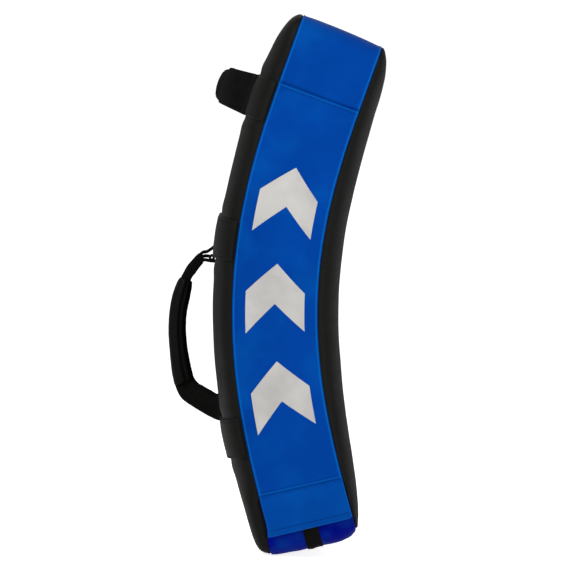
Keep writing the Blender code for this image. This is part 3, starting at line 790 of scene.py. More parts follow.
for name, sign, node in (("near_wall", -1, "near_side_gusset"), ("far_wall", 1, "far_side_gusset")):
    st = side_stations(sign)

    def rim(k, n, st=st):
        s = st[k][0]
        low, high = s - FLAP_SEAM, LENGTH - TOP_SEAM - s
        wobble = 1 + 0.35 * noise3(n * 55, 0.0, 1.0, 8)
        return (
            seam_end(high, 0.0010, 0.0016, 0.0030, 0.0013) * wobble
            + seam_end(low, 0.0013, 0.0016, 0.0034, 0.0018) * wobble
        )

    # painted highlight: how strongly the light colour is laid on the raised folds beside the two cross seams
    def light(k, n, st=st):
        s = st[k][0]
        low, high = s - FLAP_SEAM, LENGTH - TOP_SEAM - s
        return 0.75 * math.exp(-(((high - 0.0030) / 0.0012) ** 2)) + 0.6 * math.exp(-(((low - 0.0036) / 0.0014) ** 2))

    gusset(name, st, BLUE, node, rim, light=light)

st_top = outline(True, TOP_SEAM, TOP_SEAM, 0.0042)
# finer stations next to both seams
def with_ends(st):
    def between(a, b, n):
        return [tuple(a[i] + (b[i] - a[i]) * k / n for i in range(4)) for k in range(n)]
    return between(st[0], st[1], 4) + between(st[1], st[2], 3) + st[2:-3] + between(st[-3], st[-2], 3) + between(st[-2], st[-1], 4) + [st[-1]]

st_top = with_ends(st_top)


def rim_top(k, n):
    s, x = st_top[k][:2]
    d = s - (LENGTH - TOP_SEAM)
    if abs(x) < HALF - 0.02:
        return 0.0
    return seam_end(d, 0.0014, 0.0014, 0.0048, 0.0030) * (1 + 0.3 * noise3(n * 45, 0.0, 2.0, 9))


gusset("top_wall", st_top, BLUE, "top_gusset", rim_top)

st_end = with_ends(outline(False, FLAP_SEAM, FLAP_SEAM, 0.0042))


def rim_end(k, n):
    s, x = st_end[k][:2]
    a = 0.0
    # drawn in a little along the webbing that crosses the end
    a -= 0.0006 * math.exp(-(((n - 0.002) / 0.013) ** 2))
    a += 0.0007 * noise3(s * 60 + x * 9, n * 60, 0.0, 11)
    held = under_flap(s, x)
    return a * (1 - held) - (wall_profile(n) + 0.0004) * held


gusset("end_wall", st_end, DEEP, "end_gusset", rim_end, waves=0.0009, deep=True)

# ------------------------------------------------------------------ seam threads on the side walls
rows = []
for sign in (-1, 1):
    for s0, d in ((LENGTH - TOP_SEAM - 0.0052, 0.0), (FLAP_SEAM + 0.0062, 0.0)):
        pts, nrm = [], []
        for n in np.linspace(-0.0555, 0.0555, 60):
            o = wall_profile(n) + 0.0001
            pts.append(at(tilted(s0, n), sign * (HALF + o), n))
            nrm.append((sign, 0, 0))
        rows.append((pts, nrm))
stitches("wall_stitches", rows, THREAD_BLUE, pitch=0.0036)

# ------------------------------------------------------------------ print on the near side wall, a plain pattern of bars
def print_patch(name, corners_list, sign=-1, rows_n=26, cols_n=10, thick=0.00028):
    """Thin ink laid on the side wall. Each patch is four (s, n) corners, in order."""
    verts, faces = [], []
    for quad in corners_list:
        a, b, c, d = [np.array(q, float) for q in quad]
        base = len(verts)
        for layer in (0, 1):
            for i in range(rows_n + 1):
                for j in range(cols_n + 1):
                    u, v = i / rows_n, j / cols_n
                    p = (a * (1 - v) + b * v) * (1 - u) + (d * (1 - v) + c * v) * u
                    o = wall_profile(p[1]) + 0.00035 * smooth((0.056 - abs(p[1])) / 0.02) * wave_at(p[0], p[1], sign)
                    o += thick if layer == 0 else -0.0003
                    verts.append(at(p[0], sign * (HALF + o), p[1]))
        m, n = rows_n + 1, cols_n + 1
        top = grid_faces(m, n, base)
        low = grid_faces(m, n, base + m * n, True)
        rim = (
            [(0, j) for j in range(n)]
            + [(i, n - 1) for i in range(1, m)]
            + [(m - 1, j) for j in range(n - 2, -1, -1)]
            + [(i, 0) for i in range(m - 2, 0, -1)]
        )
        side = []
        for k, (i, j) in enumerate(rim):
            p, q = rim[(k + 1) % len(rim)]
            side.append((base + i * n + j, base + m * n + i * n + j, base + m * n + p * n + q, base + p * n + q))
        # face out
        v0, v1, v2 = (np.array(verts[t]) for t in top[0][:3])
        if np.cross(v1 - v0, v2 - v0)[0] * sign < 0:
            top = [f[::-1] for f in top]
            low = [f[::-1] for f in low]
            side = [f[::-1] for f in side]
        faces += top + low + side
    return make(name, verts, faces, PRINT, crisp=30)


def wave_at(s, n, sign):
    st = side_stations(sign)
    run = s - st[0][0]
    return noise3(run * 22, n * 26, 4.0, 5)


def chevron(tip, reach, half, stroke):
    """Two slanted bars that meet at tip, on the side wall: each is four (s, n) corners."""
    quads = []
    for side in (-1, 1):
        quads.append(
            (
                (tip, 0.0),
                (tip - reach, side * half),
                (tip - reach - stroke, side * half),
                (tip - stroke, 0.0),
            )
        )
    return quads


top_edge = LENGTH - 0.199
patches = []
for k in range(3):
    patches += chevron(top_edge - k * 0.136, 0.040, 0.041, 0.056)
print_patch("near_print", patches)
print_patch("far_print", patches, sign=1)


def front_print():
    """The same ink on the striking face: one wide chevron that points up."""
    verts, faces = [], []
    rows_n, cols_n = 12, 34
    for side in (-1, 1):
        base = len(verts)
        for layer in (0, 1):
            for i in range(rows_n + 1):
                for j in range(cols_n + 1):
                    u, x = i / rows_n, side * 0.070 * j / cols_n
                    s = from_top(0.2870) - 0.0560 * j / cols_n - 0.0220 * u
                    o = relief(-1, s, x) + (0.0005 if layer == 0 else -0.0006)
                    verts.append(at(s, x, face_n(-1, s, x) - o))
        m, n = rows_n + 1, cols_n + 1
        top = grid_faces(m, n, base)
        low = grid_faces(m, n, base + m * n, True)
        rim = (
            [(0, j) for j in range(n)]
            + [(i, n - 1) for i in range(1, m)]
            + [(m - 1, j) for j in range(n - 2, -1, -1)]
            + [(i, 0) for i in range(m - 2, 0, -1)]
        )
        ring = []
        for k, (i, j) in enumerate(rim):
            p, q = rim[(k + 1) % len(rim)]
            ring.append((base + i * n + j, base + m * n + i * n + j, base + m * n + p * n + q, base + p * n + q))
        v0, v1, v2 = (np.array(verts[t]) for t in top[0][:3])
        if np.cross(v1 - v0, v2 - v0) @ np.array(out(0.43)) > 0:
            top = [f[::-1] for f in top]
            low = [f[::-1] for f in low]
            ring = [f[::-1] for f in ring]
        faces += top + low + ring
    return make("front_print", verts, faces, PRINT, crisp=30)


front_print()

# ------------------------------------------------------------------ bands across the back
def back_curve(s, x_from, x_to, lift, count):
    """Points and normals over the back at s, from one x to another (signed along the surface), lifted off it."""
    pts, nrm = [], []
    for k in range(count):
        a = x_from + (x_to - x_from) * k / (count - 1)
        # a is an angle-like place: beyond the level part it runs round the edge's ellipse
        high = rise(1, s)
        if abs(a) <= FLAT_X:
            x, n, dx, dn = a, SEAM + high, 0.0, 1.0
        else:
            t = (abs(a) - FLAT_X) / ARC * math.pi / 2
            x = math.copysign(FLAT_X + CORNER * math.sin(t), a)
            n = SEAM + high * math.cos(t)
            nx, nn = high * math.sin(t), CORNER * math.cos(t)
            size = math.hypot(nx, nn)
            dx, dn = math.copysign(nx / size, a), nn / size
        pts.append((x + dx * lift, n + dn * lift))
        nrm.append((dx, dn))
    return pts, nrm


ARC = 0.0893  # length of a quarter of the edge's ellipse, near enough
BAND_END = FLAT_X + ARC * (1 - 4 / 90)


def band(name, span, node, x0=-BAND_END, x1=BAND_END, thick=0.0040, seed=1):
    s1, s0 = from_top(span[0]), from_top(span[1])
    ws = sorted({0, 0.012, 0.03, 0.055, 0.08, 0.92, 0.945, 0.97, 0.988, 1.0} | set(np.linspace(0.1, 0.9, 17)))
    count = int(abs(x1 - x0) / 0.004)
    P, Q, E, UV = [], [], [], []
    for w in ws:
        s = s0 + (s1 - s0) * w
        far = min(w, 1 - w) * (s1 - s0)
        # a turned edge: rounded over, then a shallow line where it is sewn
        body = thick * math.sqrt(max(0.0, 1 - (1 - min(1.0, far / 0.0016)) ** 2)) * 0.9 + 0.1 * thick
        body -= 0.00055 * math.exp(-(((far - 0.0035) / 0.0011) ** 2))
        body += 0.0005 * smooth((far - 0.006) / 0.012)
        base = np.array(back_curve(s, x0, x1, 0.0, count)[0])
        nrm = np.array(back_curve(s, x0, x1, 0.0, count)[1])
        line, under, e, uv = [], [], [], []
        for k in range(count):
            a = x0 + (x1 - x0) * k / (count - 1)
            o = 0.0003 + body + 0.00035 * noise3(s * 60, a * 26, 0.0, seed) * smooth(far / 0.006)
            p = base[k] + nrm[k] * o
            q = base[k] + nrm[k] * -0.0002
            line.append(at(s, p[0], p[1]))
            under.append(at(s, q[0], q[1]))
            # painted highlight along the band's turned edges
            e.append(0.35 * math.exp(-((far / 0.0012) ** 2)))
            uv.append((a, s))
        P.append(line)
        Q.append(under)
        E.append(e)
        UV.append(uv)
    o = shell(name, P, Q, BLACK, uv=UV, edge=E, crisp=60)
    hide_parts(node)
    return o


def band_rows(span, x0, x1, lift=0.00385, inset=0.0035):
    found = []
    for s in (from_top(span[0]) - inset, from_top(span[1]) + inset):
        count = int(abs(x1 - x0) / 0.003)
        p, q = back_curve(s, x0, x1, lift, count)
        found.append(
            ([at(s, *v) for v in p], [np.array((v[0], 0, 0)) + v[1] * np.array(out(s)) for v in q])
        )
    return found


band("band_upper", UPPER_BAND, "grip_band_upper", seed=21)
band("band_lower", LOWER_BAND, "grip_band_lower", seed=22)
arm_end = 0.080
band("arm_anchor_near", ARM_BAND, "arm_band_near", -BAND_END, -arm_end, 0.0030, seed=23)
band("arm_anchor_far", ARM_BAND, "arm_band_far", arm_end, BAND_END, 0.0030, seed=24)
rows = band_rows(UPPER_BAND, -BAND_END, BAND_END) + band_rows(LOWER_BAND, -BAND_END, BAND_END)
rows += band_rows(ARM_BAND, -BAND_END, -arm_end, 0.00285) + band_rows(ARM_BAND, arm_end, BAND_END, 0.00285)
stitches("band_stitches", rows, THREAD_BLACK)

# ------------------------------------------------------------------ arm strap
arm_s0, arm_s1 = from_top(ARM_BAND[1]), from_top(ARM_BAND[0])
arm_mid = (arm_s0 + arm_s1) / 2


def arch(x):
    return ARCH_RISE * (1 - min(1.0, abs(x) / ARCH_ROOT) ** 2.4)


def arch_at(s, x, lift):
    e = 1e-4
    slope = (arch(x + e) - arch(x - e)) / (2 * e)
    if abs(x) >= ARCH_ROOT:
        slope = 0.0
    size = math.hypot(1, slope)
    return x - lift * slope / size, ARCH_BASE + arch(x) + lift / size


def arch_normal(s, x):
    e = 1e-4
    slope = (arch(x + e) - arch(x - e)) / (2 * e) if abs(x) < ARCH_ROOT else 0.0
    size = math.hypot(1, slope)
    return np.array((-slope / size, 0, 0)) + np.array(out(s)) / size


def spread(a, b, n):
    return list(np.linspace(a, b, n))


def strap_inner():
    xs = spread(-0.1140, -0.0930, 14) + spread(-0.0915, PAD_END - 0.0009, 52) + spread(PAD_END - 0.0006, PAD_END + 0.0012, 7)
    xs += spread(-0.0105, 0.0335, 20)
    path = []
    for x in xs:
        if x < -0.0925:
            fall = min(1.0, max(0.0, (-x - FLAT_X) / CORNER))
            drop = rise(1, arm_mid) * (1 - math.sqrt(1 - fall * fall))
            path.append((x, ARCH_BASE + 0.00135 - drop - 0.0012 * smooth((-0.1000 - x) / 0.013)))
        else:
            path.append(arch_at(arm_mid, x, 0.00135))
    path = np.array(path)
    fixed = path.copy()
    for _ in range(14):  # the strap leaves its root in a soft bend
        path[1:-1] = (path[:-2] + 2 * path[1:-1] + path[2:]) / 4
    blend = np.array([1 - smooth((x + 0.085) / 0.02) for x in xs])[:, None]
    path = fixed * (1 - blend) + path * blend
    slope = np.gradient(path, axis=0)
    slope /= np.linalg.norm(slope, axis=1, keepdims=True)
    ws = [0, 0.008, 0.022, 0.045, 0.07, 0.085, 0.10] + spread(0.13, 0.87, 22) + [0.90, 0.915, 0.93, 0.955, 0.978, 0.992, 1.0]
    P, Q, UV = [], [], []
    run = 0.0
    last = None
    for k, x in enumerate(xs):
        line, under, uv = [], [], []
        p, (tx, tn) = path[k], slope[k]
        if last is not None:
            run += math.hypot(p[0] - last[0], p[1] - last[1])
        last = p
        full = INNER_PAD * smooth((x + 0.082) / 0.030)
        beyond = max(0.0, x - (PAD_END - 0.0016)) / 0.0028
        full *= math.sqrt(max(0.0, 1 - min(1.0, beyond) ** 2)) if x > PAD_END - 0.0016 else 1.0
        tip = max(0.0, 1 - (0.0335 - x) / 0.004)  # bound tip
        taper = STRAP_TAPER * arch(x) / ARCH_RISE
        for w in ws:
            s = arm_s0 + taper + (arm_s1 - arm_s0 - 2 * taper) * w
            far = min(w, 1 - w) * 0.0565
            bound = 0.0008 * (1 - smooth((far - 0.0042) / 0.0008))
            rounding = math.sqrt(max(0.0, 1 - (1 - min(1.0, far / 0.0017)) ** 2))
            half = 0.00125 + bound + 0.0006 * tip
            half *= 0.12 + 0.88 * rounding
            half *= 1 - 0.5 * max(0.0, 1 - (0.0335 - x) / 0.0012)
            wave = 0.0006 * noise3(x * 30, s * 40, 0, 31) * smooth(arch(x) / 0.01)
            high = half + wave + full * (1 - abs(2 * w - 1) ** 2.2)
            if x < -0.1000:
                high *= 1 - 0.7 * smooth((-0.1000 - x) / 0.013)
            foot = 1 - smooth((x + 0.0900) / 0.0070)  # sewn down where it starts
            a = (p[0] - tn * high, p[1] + tx * high)
            b = (p[0] + tn * (half - wave), p[1] - tx * (half - wave) - 0.0046 * foot)
            line.append(at(s, *a))
            under.append(at(s, *b))
            uv.append((run, s))
        P.append(line)
        Q.append(under)
        UV.append(uv)
    o = shell("arm_strap_lower_half", P, Q, LOOP, uv=UV, crisp=50)
    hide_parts("arm_strap_inner")
    return o


strap_inner()

OUTER_LIFT = 0.0058


def strap_outer():
    """The padded leather half: sewn to the band at +X, over the arch, to a rounded tip past the middle."""
    path = []  # (x, n, normal x, normal n) along the strap, from its root to its tip
    for x in spread(0.1040, 0.0925, 8):
        path.append((x, BAND_TOP + 0.0006, 0.0, 1.0, 0.0))
    for x in spread(0.0835, -OUTER_TIP, 54):
        fade = smooth((x - 0.036) / 0.040)
        lift = OUTER_LIFT * (1 - fade) + 0.0016 * fade
        p = arch_at(arm_mid, x, lift)
        nn = arch_normal(arm_mid, x)
        path.append((p[0], p[1], nn[0], math.hypot(nn[1], nn[2]), 1 - smooth((x - 0.045) / 0.035)))
    pts = np.array(path)
    # smooth the step between root and arch
    for _ in range(6):
        pts[1:-1, :2] = (pts[:-2, :2] + 2 * pts[1:-1, :2] + pts[2:, :2]) / 4
    d = np.concatenate([[0], np.cumsum(np.hypot(np.diff(pts[:, 0]), np.diff(pts[:, 1])))])
    total = d[-1]
    ws = [0, 0.01, 0.028, 0.055, 0.08, 0.10] + spread(0.125, 0.875, 27) + [0.90, 0.92, 0.945, 0.972, 0.99, 1.0]
    P, Q, UV, E = [], [], [], []
    for k, (x, n, nx, nn, pad) in enumerate(pts):
        tip = total - d[k]
        round_tip = 0.006 * (1 - math.sqrt(max(0.0, 1 - (1 - min(1.0, tip / 0.006)) ** 2)))
        line, under, uv, e = [], [], [], []
        taper = STRAP_TAPER * arch(x) / ARCH_RISE
        s_lo, s_hi = arm_s0 + 0.0030 + taper + round_tip, arm_s1 - 0.0030 - taper - round_tip
        for w in ws:
            s = s_lo + (s_hi - s_lo) * w
            far = min(w, 1 - w) * (s_hi - s_lo)
            wide = 1 - abs(2 * w - 1) ** 2.2
            end = math.sqrt(max(0.0, 1 - (1 - min(1.0, tip / 0.005)) ** 2))
            start = smooth(d[k] / 0.02)
            crown = (0.0018 + 0.0050 * wide * (0.15 + 0.85 * pad) * start) * (0.35 + 0.65 * end)
            edge_round = math.sqrt(max(0.0, 1 - (1 - min(1.0, far / 0.0022)) ** 2))
            top = crown * (0.25 + 0.75 * edge_round) + 0.0011 * edge_round
            top -= 0.0006 * math.exp(-(((far - 0.0042) / 0.0012) ** 2)) * (0.3 + 0.7 * start)
            top += 0.00045 * noise3(d[k] * 50, s * 50, 0, 33) * smooth(far / 0.006) * pad
            droop = 0.0022 * pad * (1 - smooth(far / 0.0045))
            low = -0.0002 * start
            line.append(at(s, x + nx * (top - droop), n + nn * (top - droop)))
            under.append(at(s, x + nx * (low - droop), n + nn * (low - droop)))
            uv.append((d[k], s))
            # painted highlight along the strap's edges and round its tip
            e.append(0.5 * math.exp(-((far / 0.0016) ** 2)) + 0.4 * math.exp(-((tip / 0.0016) ** 2)))
        P.append(line)
        Q.append(under)
        UV.append(uv)
        E.append(e)
    o = shell("arm_strap_upper_half", P, Q, BLACK_STRAP, uv=UV, edge=E, crisp=60, body=None)
    at(arm_mid, 0.0960, BAND_TOP + 0.001)
    at(arm_mid, 0.0800, BAND_TOP + 0.001)
    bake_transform(o)
    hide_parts("arm_strap_outer", "arm_strap_root")
    # stitches along its two edges
    rows = []
    for w in (0.086, 0.914):
        a, b = [], []
        for k, (x, n, nx, nn, pad) in enumerate(pts):
            if total - d[k] < 0.005 or d[k] < 0.012:
                continue
            taper = STRAP_TAPER * arch(x) / ARCH_RISE
            s = arm_s0 + 0.003 + taper + (arm_s1 - arm_s0 - 0.006 - 2 * taper) * w
            wide = 1 - abs(2 * w - 1) ** 2.2
            lift = 0.0018 + 0.0011 + 0.0050 * wide * (0.15 + 0.85 * pad) - 0.0007
            a.append(at(s, x + nx * lift, n + nn * lift))
            b.append(np.array((nx, 0, 0)) + nn * np.array(out(s)))
        rows.append((a, b))
    verts, faces = stitch_mesh(rows)
    t = make("arm_strap_stitches", verts, faces, THREAD_BLACK, body=None, crisp=180)
    at(arm_mid, 0.0960, BAND_TOP + 0.001)
    at(arm_mid, 0.0800, BAND_TOP + 0.001)
    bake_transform(t)
    return o


strap_outer()

# box stitching where both halves are sewn down
rows = []
for sign, lift in ((-1, 0.0029), (1, 0.0036)):
    x0, x1 = sign * 0.0915, sign * 0.1035
    sa, sb = arm_s0 + 0.006, arm_s1 - 0.006
    n = BAND_TOP + lift - (0.0 if sign < 0 else 0.0002)
    loop = [(sa, x0), (sb, x0), (sb, x1), (sa, x1), (sa, x0)]
    for (a, b), (c, e) in zip(loop, loop[1:]):
        pts = [at(a + (c - a) * t, b + (e - b) * t, n) for t in spread(0, 1, 12)]
        rows.append((pts, [np.array(out(arm_mid))] * 12))
stitches("strap_root_stitches", rows, THREAD_BLACK, pitch=0.0030)


# ------------------------------------------------------------------ grip
def catmull(points, count):
    """A smooth line through points (each a tuple of numbers), count samples."""
    p = np.array(points, float)
    p = np.vstack([2 * p[0] - p[1], p, 2 * p[-1] - p[-2]])
    found = []
    spans = len(p) - 3
    for k in range(count):
        f = k / (count - 1) * spans
        i = min(int(f), spans - 1)
        t = f - i
        a, b, c, e = p[i], p[i + 1], p[i + 2], p[i + 3]
        found.append(
            0.5 * ((2 * b) + (c - a) * t + (2 * a - 5 * b + 4 * c - e) * t * t + (3 * b - a - 3 * c + e) * t**3)
        )
    return np.array(found)


def side_point(d, n):
    return np.array(at(from_top(d), 0.0, n))


def loft(name, stations, sides, shape, look, body="grip", cap=True, crisp=60, tweak=None):
    """Rings round a line. A station is outer d, outer n, inner d, inner n, thickness; shape(t, k) gives (u, v)."""
    P, UV = [], []
    run = 0.0
    last = None
    for k, (od, on, idd, inn, th) in enumerate(stations):
        o, i = side_point(od, on), side_point(idd, inn)
        c, arm = (o + i) / 2, (o - i) / 2
        if last is not None:
            run += float(np.linalg.norm(c - last))
        last = c
        line, uv = [], []
        for j in range(sides):
            t = 2 * math.pi * j / sides
            u, v = shape(t, k / (len(stations) - 1))
            line.append(c + arm * u + np.array((v * th / 2, 0, 0)))
            uv.append((run, 0.040 * j / sides))
        P.append(line)
        UV.append(uv)
    P = np.array(P)
    if tweak is not None:
        centres = P.mean(axis=1, keepdims=True)
        away = P - centres
        size = np.linalg.norm(away, axis=2, keepdims=True)
        P = centres + away * (1 + tweak(P.shape[0], sides) / np.maximum(size[..., 0], 1e-9))[..., None]
    m = len(stations)
    verts = list(P.reshape(-1, 3))
    uvs = [q for r in UV for q in r]
    faces = []
    for i in range(m - 1):
        for j in range(sides):
            a, b = i * sides + j, i * sides + (j + 1) % sides
            faces.append((a, b, b + sides, a + sides))
    if cap:
        for ring, turn in ((0, True), (m - 1, False)):
            centre = len(verts)
            verts.append(P[ring].mean(axis=0))
            uvs.append((0, 0))
            for j in range(sides):
                a, b = ring * sides + j, ring * sides + (j + 1) % sides
                faces.append((b, a, centre) if turn else (a, b, centre))
    v = np.array(verts)
    f = faces[0]
    nrm = np.cross(v[f[1]] - v[f[0]], v[f[2]] - v[f[0]])
    if nrm @ (v[f[0]] - P[0].mean(axis=0)) < 0:
        faces = [g[::-1] for g in faces]
    return make(name, verts, faces, look, uvs, crisp=crisp, body=body)


def super_section(power, pinch=0.0):
    def shape(t, k):
        c, s = math.cos(t), math.sin(t)
        u = math.copysign(abs(c) ** (2 / power), c)
        v = math.copysign(abs(s) ** (2 / power), s)
        q = pinch(k) if callable(pinch) else pinch
        return u, v * (1 - q * math.exp(-((u / 0.42) ** 2)))

    return shape


WEB = (
    (0.3262, 0.0870, 0.3444, 0.0866, 0.0245),
    (0.3266, 0.0902, 0.3446, 0.0900, 0.0240),
    (0.3275, 0.0932, 0.3450, 0.0925, 0.0160),
    (0.3300, 0.0965, 0.3456, 0.0965, 0.0095),
    (0.3340, 0.1030, 0.3463, 0.1015, 0.0085),
    (0.3382, 0.1130, 0.3540, 0.1087, 0.0088),
    (0.3491, 0.1232, 0.3613, 0.1138, 0.0095),
    (0.3579, 0.1295, 0.3688, 0.1195, 0.0100),
    (0.3727, 0.1372, 0.3780, 0.1215, 0.0100),
    (0.3905, 0.1432, 0.3940, 0.1256, 0.0100),
    (0.4116, 0.1470, 0.4140, 0.1290, 0.0100),
    (0.4361, 0.1485, 0.4360, 0.1300, 0.0100),
    (0.4633, 0.1482, 0.4620, 0.1296, 0.0100),
    (0.4830, 0.1478, 0.4770, 0.1266, 0.0100),
    (0.4950, 0.1486, 0.4880, 0.1212, 0.0100),
    (0.5083, 0.1446, 0.4955, 0.1165, 0.0098),
    (0.5180, 0.1368, 0.5000, 0.1105, 0.0095),
    (0.5280, 0.1236, 0.5040, 0.1045, 0.0092),
    (0.5400, 0.1076, 0.5090, 0.0972, 0.0105),
    (0.5460, 0.0985, 0.5125, 0.0925, 0.0150),
    (0.5480, 0.0930, 0.5133, 0.0902, 0.0240),
    (0.5484, 0.0880, 0.5136, 0.0866, 0.0245),
)
web_line = catmull(WEB, 110)


def split(parts, at_index):
    return parts[: at_index + 3], parts[at_index - 3 :]


def web_tweak(m, sides):
    w = np.zeros((m, sides))
    for i in range(m):
        for j in range(sides):
            w[i, j] = 0.00035 * noise3(i * 0.35, math.cos(2 * math.pi * j / sides) * 2, math.sin(2 * math.pi * j / sides) * 2, 41)
    return w


upper_part, lower_part = web_line[23:56], web_line[54:]
web_upper = loft(
    "grip_webbing_upper", upper_part, 40, super_section(3.0, lambda k: 0.30 * (1 - smooth(k / 0.3))), WEBBING, body=None, tweak=web_tweak
)


def strand(points, widths, thick=0.0042, closed=False):
    """One thin ply of the webbing, where it is split below the fold."""
    line = np.array(points) if closed else catmull(points, 26)
    wide = np.interp(np.linspace(0, 1, len(line)), np.linspace(0, 1, len(widths)), widths)
    way = np.roll(line, -1, axis=0) - np.roll(line, 1, axis=0) if closed else np.gradient(line, axis=0)
    way /= np.linalg.norm(way, axis=1, keepdims=True)
    st = [(p[0] - w[1] * thick / 2, p[1] + w[0] * thick / 2, p[0] + w[1] * thick / 2, p[1] - w[0] * thick / 2, b) for p, w, b in zip(line, way, wide)]
    if closed:
        st.append(st[0])
    return st


ring = [(0.3413 + 0.0027 * math.cos(a), 0.0930 + 0.0027 * math.sin(a)) for a in np.linspace(0, 2 * math.pi, 24, endpoint=False)]
plies = [
    ("outer", strand(((0.3263, 0.0866), (0.3266, 0.0904), (0.3308, 0.0955), (0.3344, 0.1008), (0.3357, 0.1062), (0.3388, 0.1100)), (0.024, 0.022, 0.016, 0.0090))),
    ("middle", strand(((0.3404, 0.0950), (0.3398, 0.0988), (0.3404, 0.1044), (0.3442, 0.1090)), (0.010, 0.0090))),
    ("inner", strand(((0.3450, 0.0862), (0.3453, 0.0900), (0.3453, 0.0968), (0.3449, 0.1032), (0.3478, 0.1085)), (0.024, 0.022, 0.016, 0.0090))),
    ("ring", strand(ring, (0.010, 0.010), 0.0036, closed=True)),
]
for tag, st in plies:
    ply = loft("grip_webbing_ply_" + tag, st, 20, super_section(3.0), WEBBING, body=None, cap=tag != "ring")
    side_point(0.3375, 0.0925)
    side_point(0.3405, 0.1080)
    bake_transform(ply)
web_lower = loft(
    "grip_webbing_lower", lower_part, 40, super_section(3.0, lambda k: 0.18 * smooth((k - 0.5) / 0.3)), WEBBING, body=None, tweak=web_tweak
)
side_point(0.3375, 0.0925)
side_point(0.3405, 0.1080)
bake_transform(web_upper)
side_point(0.5300, 0.0925)
side_point(0.5240, 0.1080)
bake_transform(web_lower)
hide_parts("grip_tab_upper", "grip_webbing")
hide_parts("grip_tab_lower", "grip_webbing")

SLEEVE = (
    (0.3680, 0.1352, 0.3722, 0.1196, 0.0180),
    (0.3694, 0.1372, 0.3740, 0.1182, 0.0215),
    (0.3765, 0.1410, 0.3815, 0.1188, 0.0240),
    (0.3905, 0.1463, 0.3935, 0.1212, 0.0255),
    (0.4116, 0.1503, 0.4142, 0.1255, 0.0255),
    (0.4361, 0.1519, 0.4380, 0.1265, 0.0255),
    (0.4610, 0.1514, 0.4600, 0.1251, 0.0255),
    (0.4800, 0.1511, 0.4765, 0.1228, 0.0250),
    (0.4930, 0.1500, 0.4878, 0.1208, 0.0225),
    (0.4962, 0.1484, 0.4908, 0.1214, 0.0180),
)
sleeve_line = catmull(SLEEVE, 96)


def sleeve_shape(t, k):
    c, s = math.cos(t), math.sin(t)
    u = math.copysign(abs(c) ** (2 / 2.25), c)
    v = math.copysign(abs(s) ** (2 / 2.25), s)
    # a wrapped cover: a soft ridge down each flank and a lapped seam beside it
    v *= 1 + 0.07 * math.exp(-(((u - 0.12) / 0.16) ** 2)) - 0.10 * math.exp(-(((u + 0.28) / 0.10) ** 2))
    return u, v


def sleeve_tweak(m, sides):
    w = np.zeros((m, sides))
    for i in range(m):
        for j in range(sides):
            a = 2 * math.pi * j / sides
            near_end = math.exp(-min(i, m - 1 - i) / 7)
            w[i, j] = 0.00055 * noise3(i * 0.055, math.cos(a) * 1.6, math.sin(a) * 1.6, 43)
            w[i, j] += 0.00075 * near_end * noise3(i * 0.12, math.cos(a) * 4.5, math.sin(a) * 4.5, 44)
            w[i, j] += 0.0002 * noise3(i * 0.5, math.cos(a) * 3, math.sin(a) * 3, 45)
    return w


sleeve = loft("grip_sleeve", sleeve_line, 56, sleeve_shape, BLACK_STRAP, tweak=sleeve_tweak)
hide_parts("grip_cover", "grip_foam")

# ------------------------------------------------------------------ closure flap
FLAP_LIFT = 0.0033


def corner_station(d):
    """(s, x, normal s, normal x) of the -X wall at this distance from the bottom end."""
    b = max(0.0, 1 - d / CORNER)
    x = FLAT_X + CORNER * (1 - b**POWER) ** (1 / POWER)
    a = (x - FLAT_X) / CORNER
    ns, nx = b ** (POWER - 1), a ** (POWER - 1)
    size = math.hypot(ns, nx)
    return d, -x, -ns / size, -nx / size


flap_top, flap_low = FLAP_SEAM + 0.0012, FLAP_EDGE


def flap_tilt(d, n):
    """The flap's seam and its free edge both slope across the wall."""
    return d + n * (0.0227 + (0.0300 - 0.0227) * (d - FLAP_EDGE) / (FLAP_SEAM - FLAP_EDGE))


def flap_offset(d, n):
    """Height of the flap's outside over the side wall's flat place."""
    fall = FLAP_SEAM - d
    rise = smooth((fall + 0.0012) / 0.0048)
    o = 0.0004 + rise * (FLAP_LIFT + 0.0020)
    wall = wall_profile(n) * (1 - 0.25 * rise)
    o += wall
    over = smooth(fall / 0.012) * smooth((d - FLAP_EDGE + 0.012) / 0.012)
    # two soft folds that fan out from the upper right, and a slack belly
    o += 0.0011 * over * noise3(d * 26, n * 20, 0.0, 51)
    o += 0.0010 * over * math.exp(-(((n + 0.018 - (d - 0.045) * 0.5) / 0.014) ** 2))
    o -= 0.0007 * over * math.exp(-(((n - 0.012 + (d - 0.05) * 0.9) / 0.008) ** 2))
    edge = d - FLAP_EDGE
    o += 0.0007 * (1 - smooth((edge - 0.0062) / 0.0016)) * smooth(edge / 0.001)  # the hem is folded double
    o -= 0.0006 * math.exp(-(((edge - 0.0070) / 0.0010) ** 2))  # sewn down along its stitching
    return o


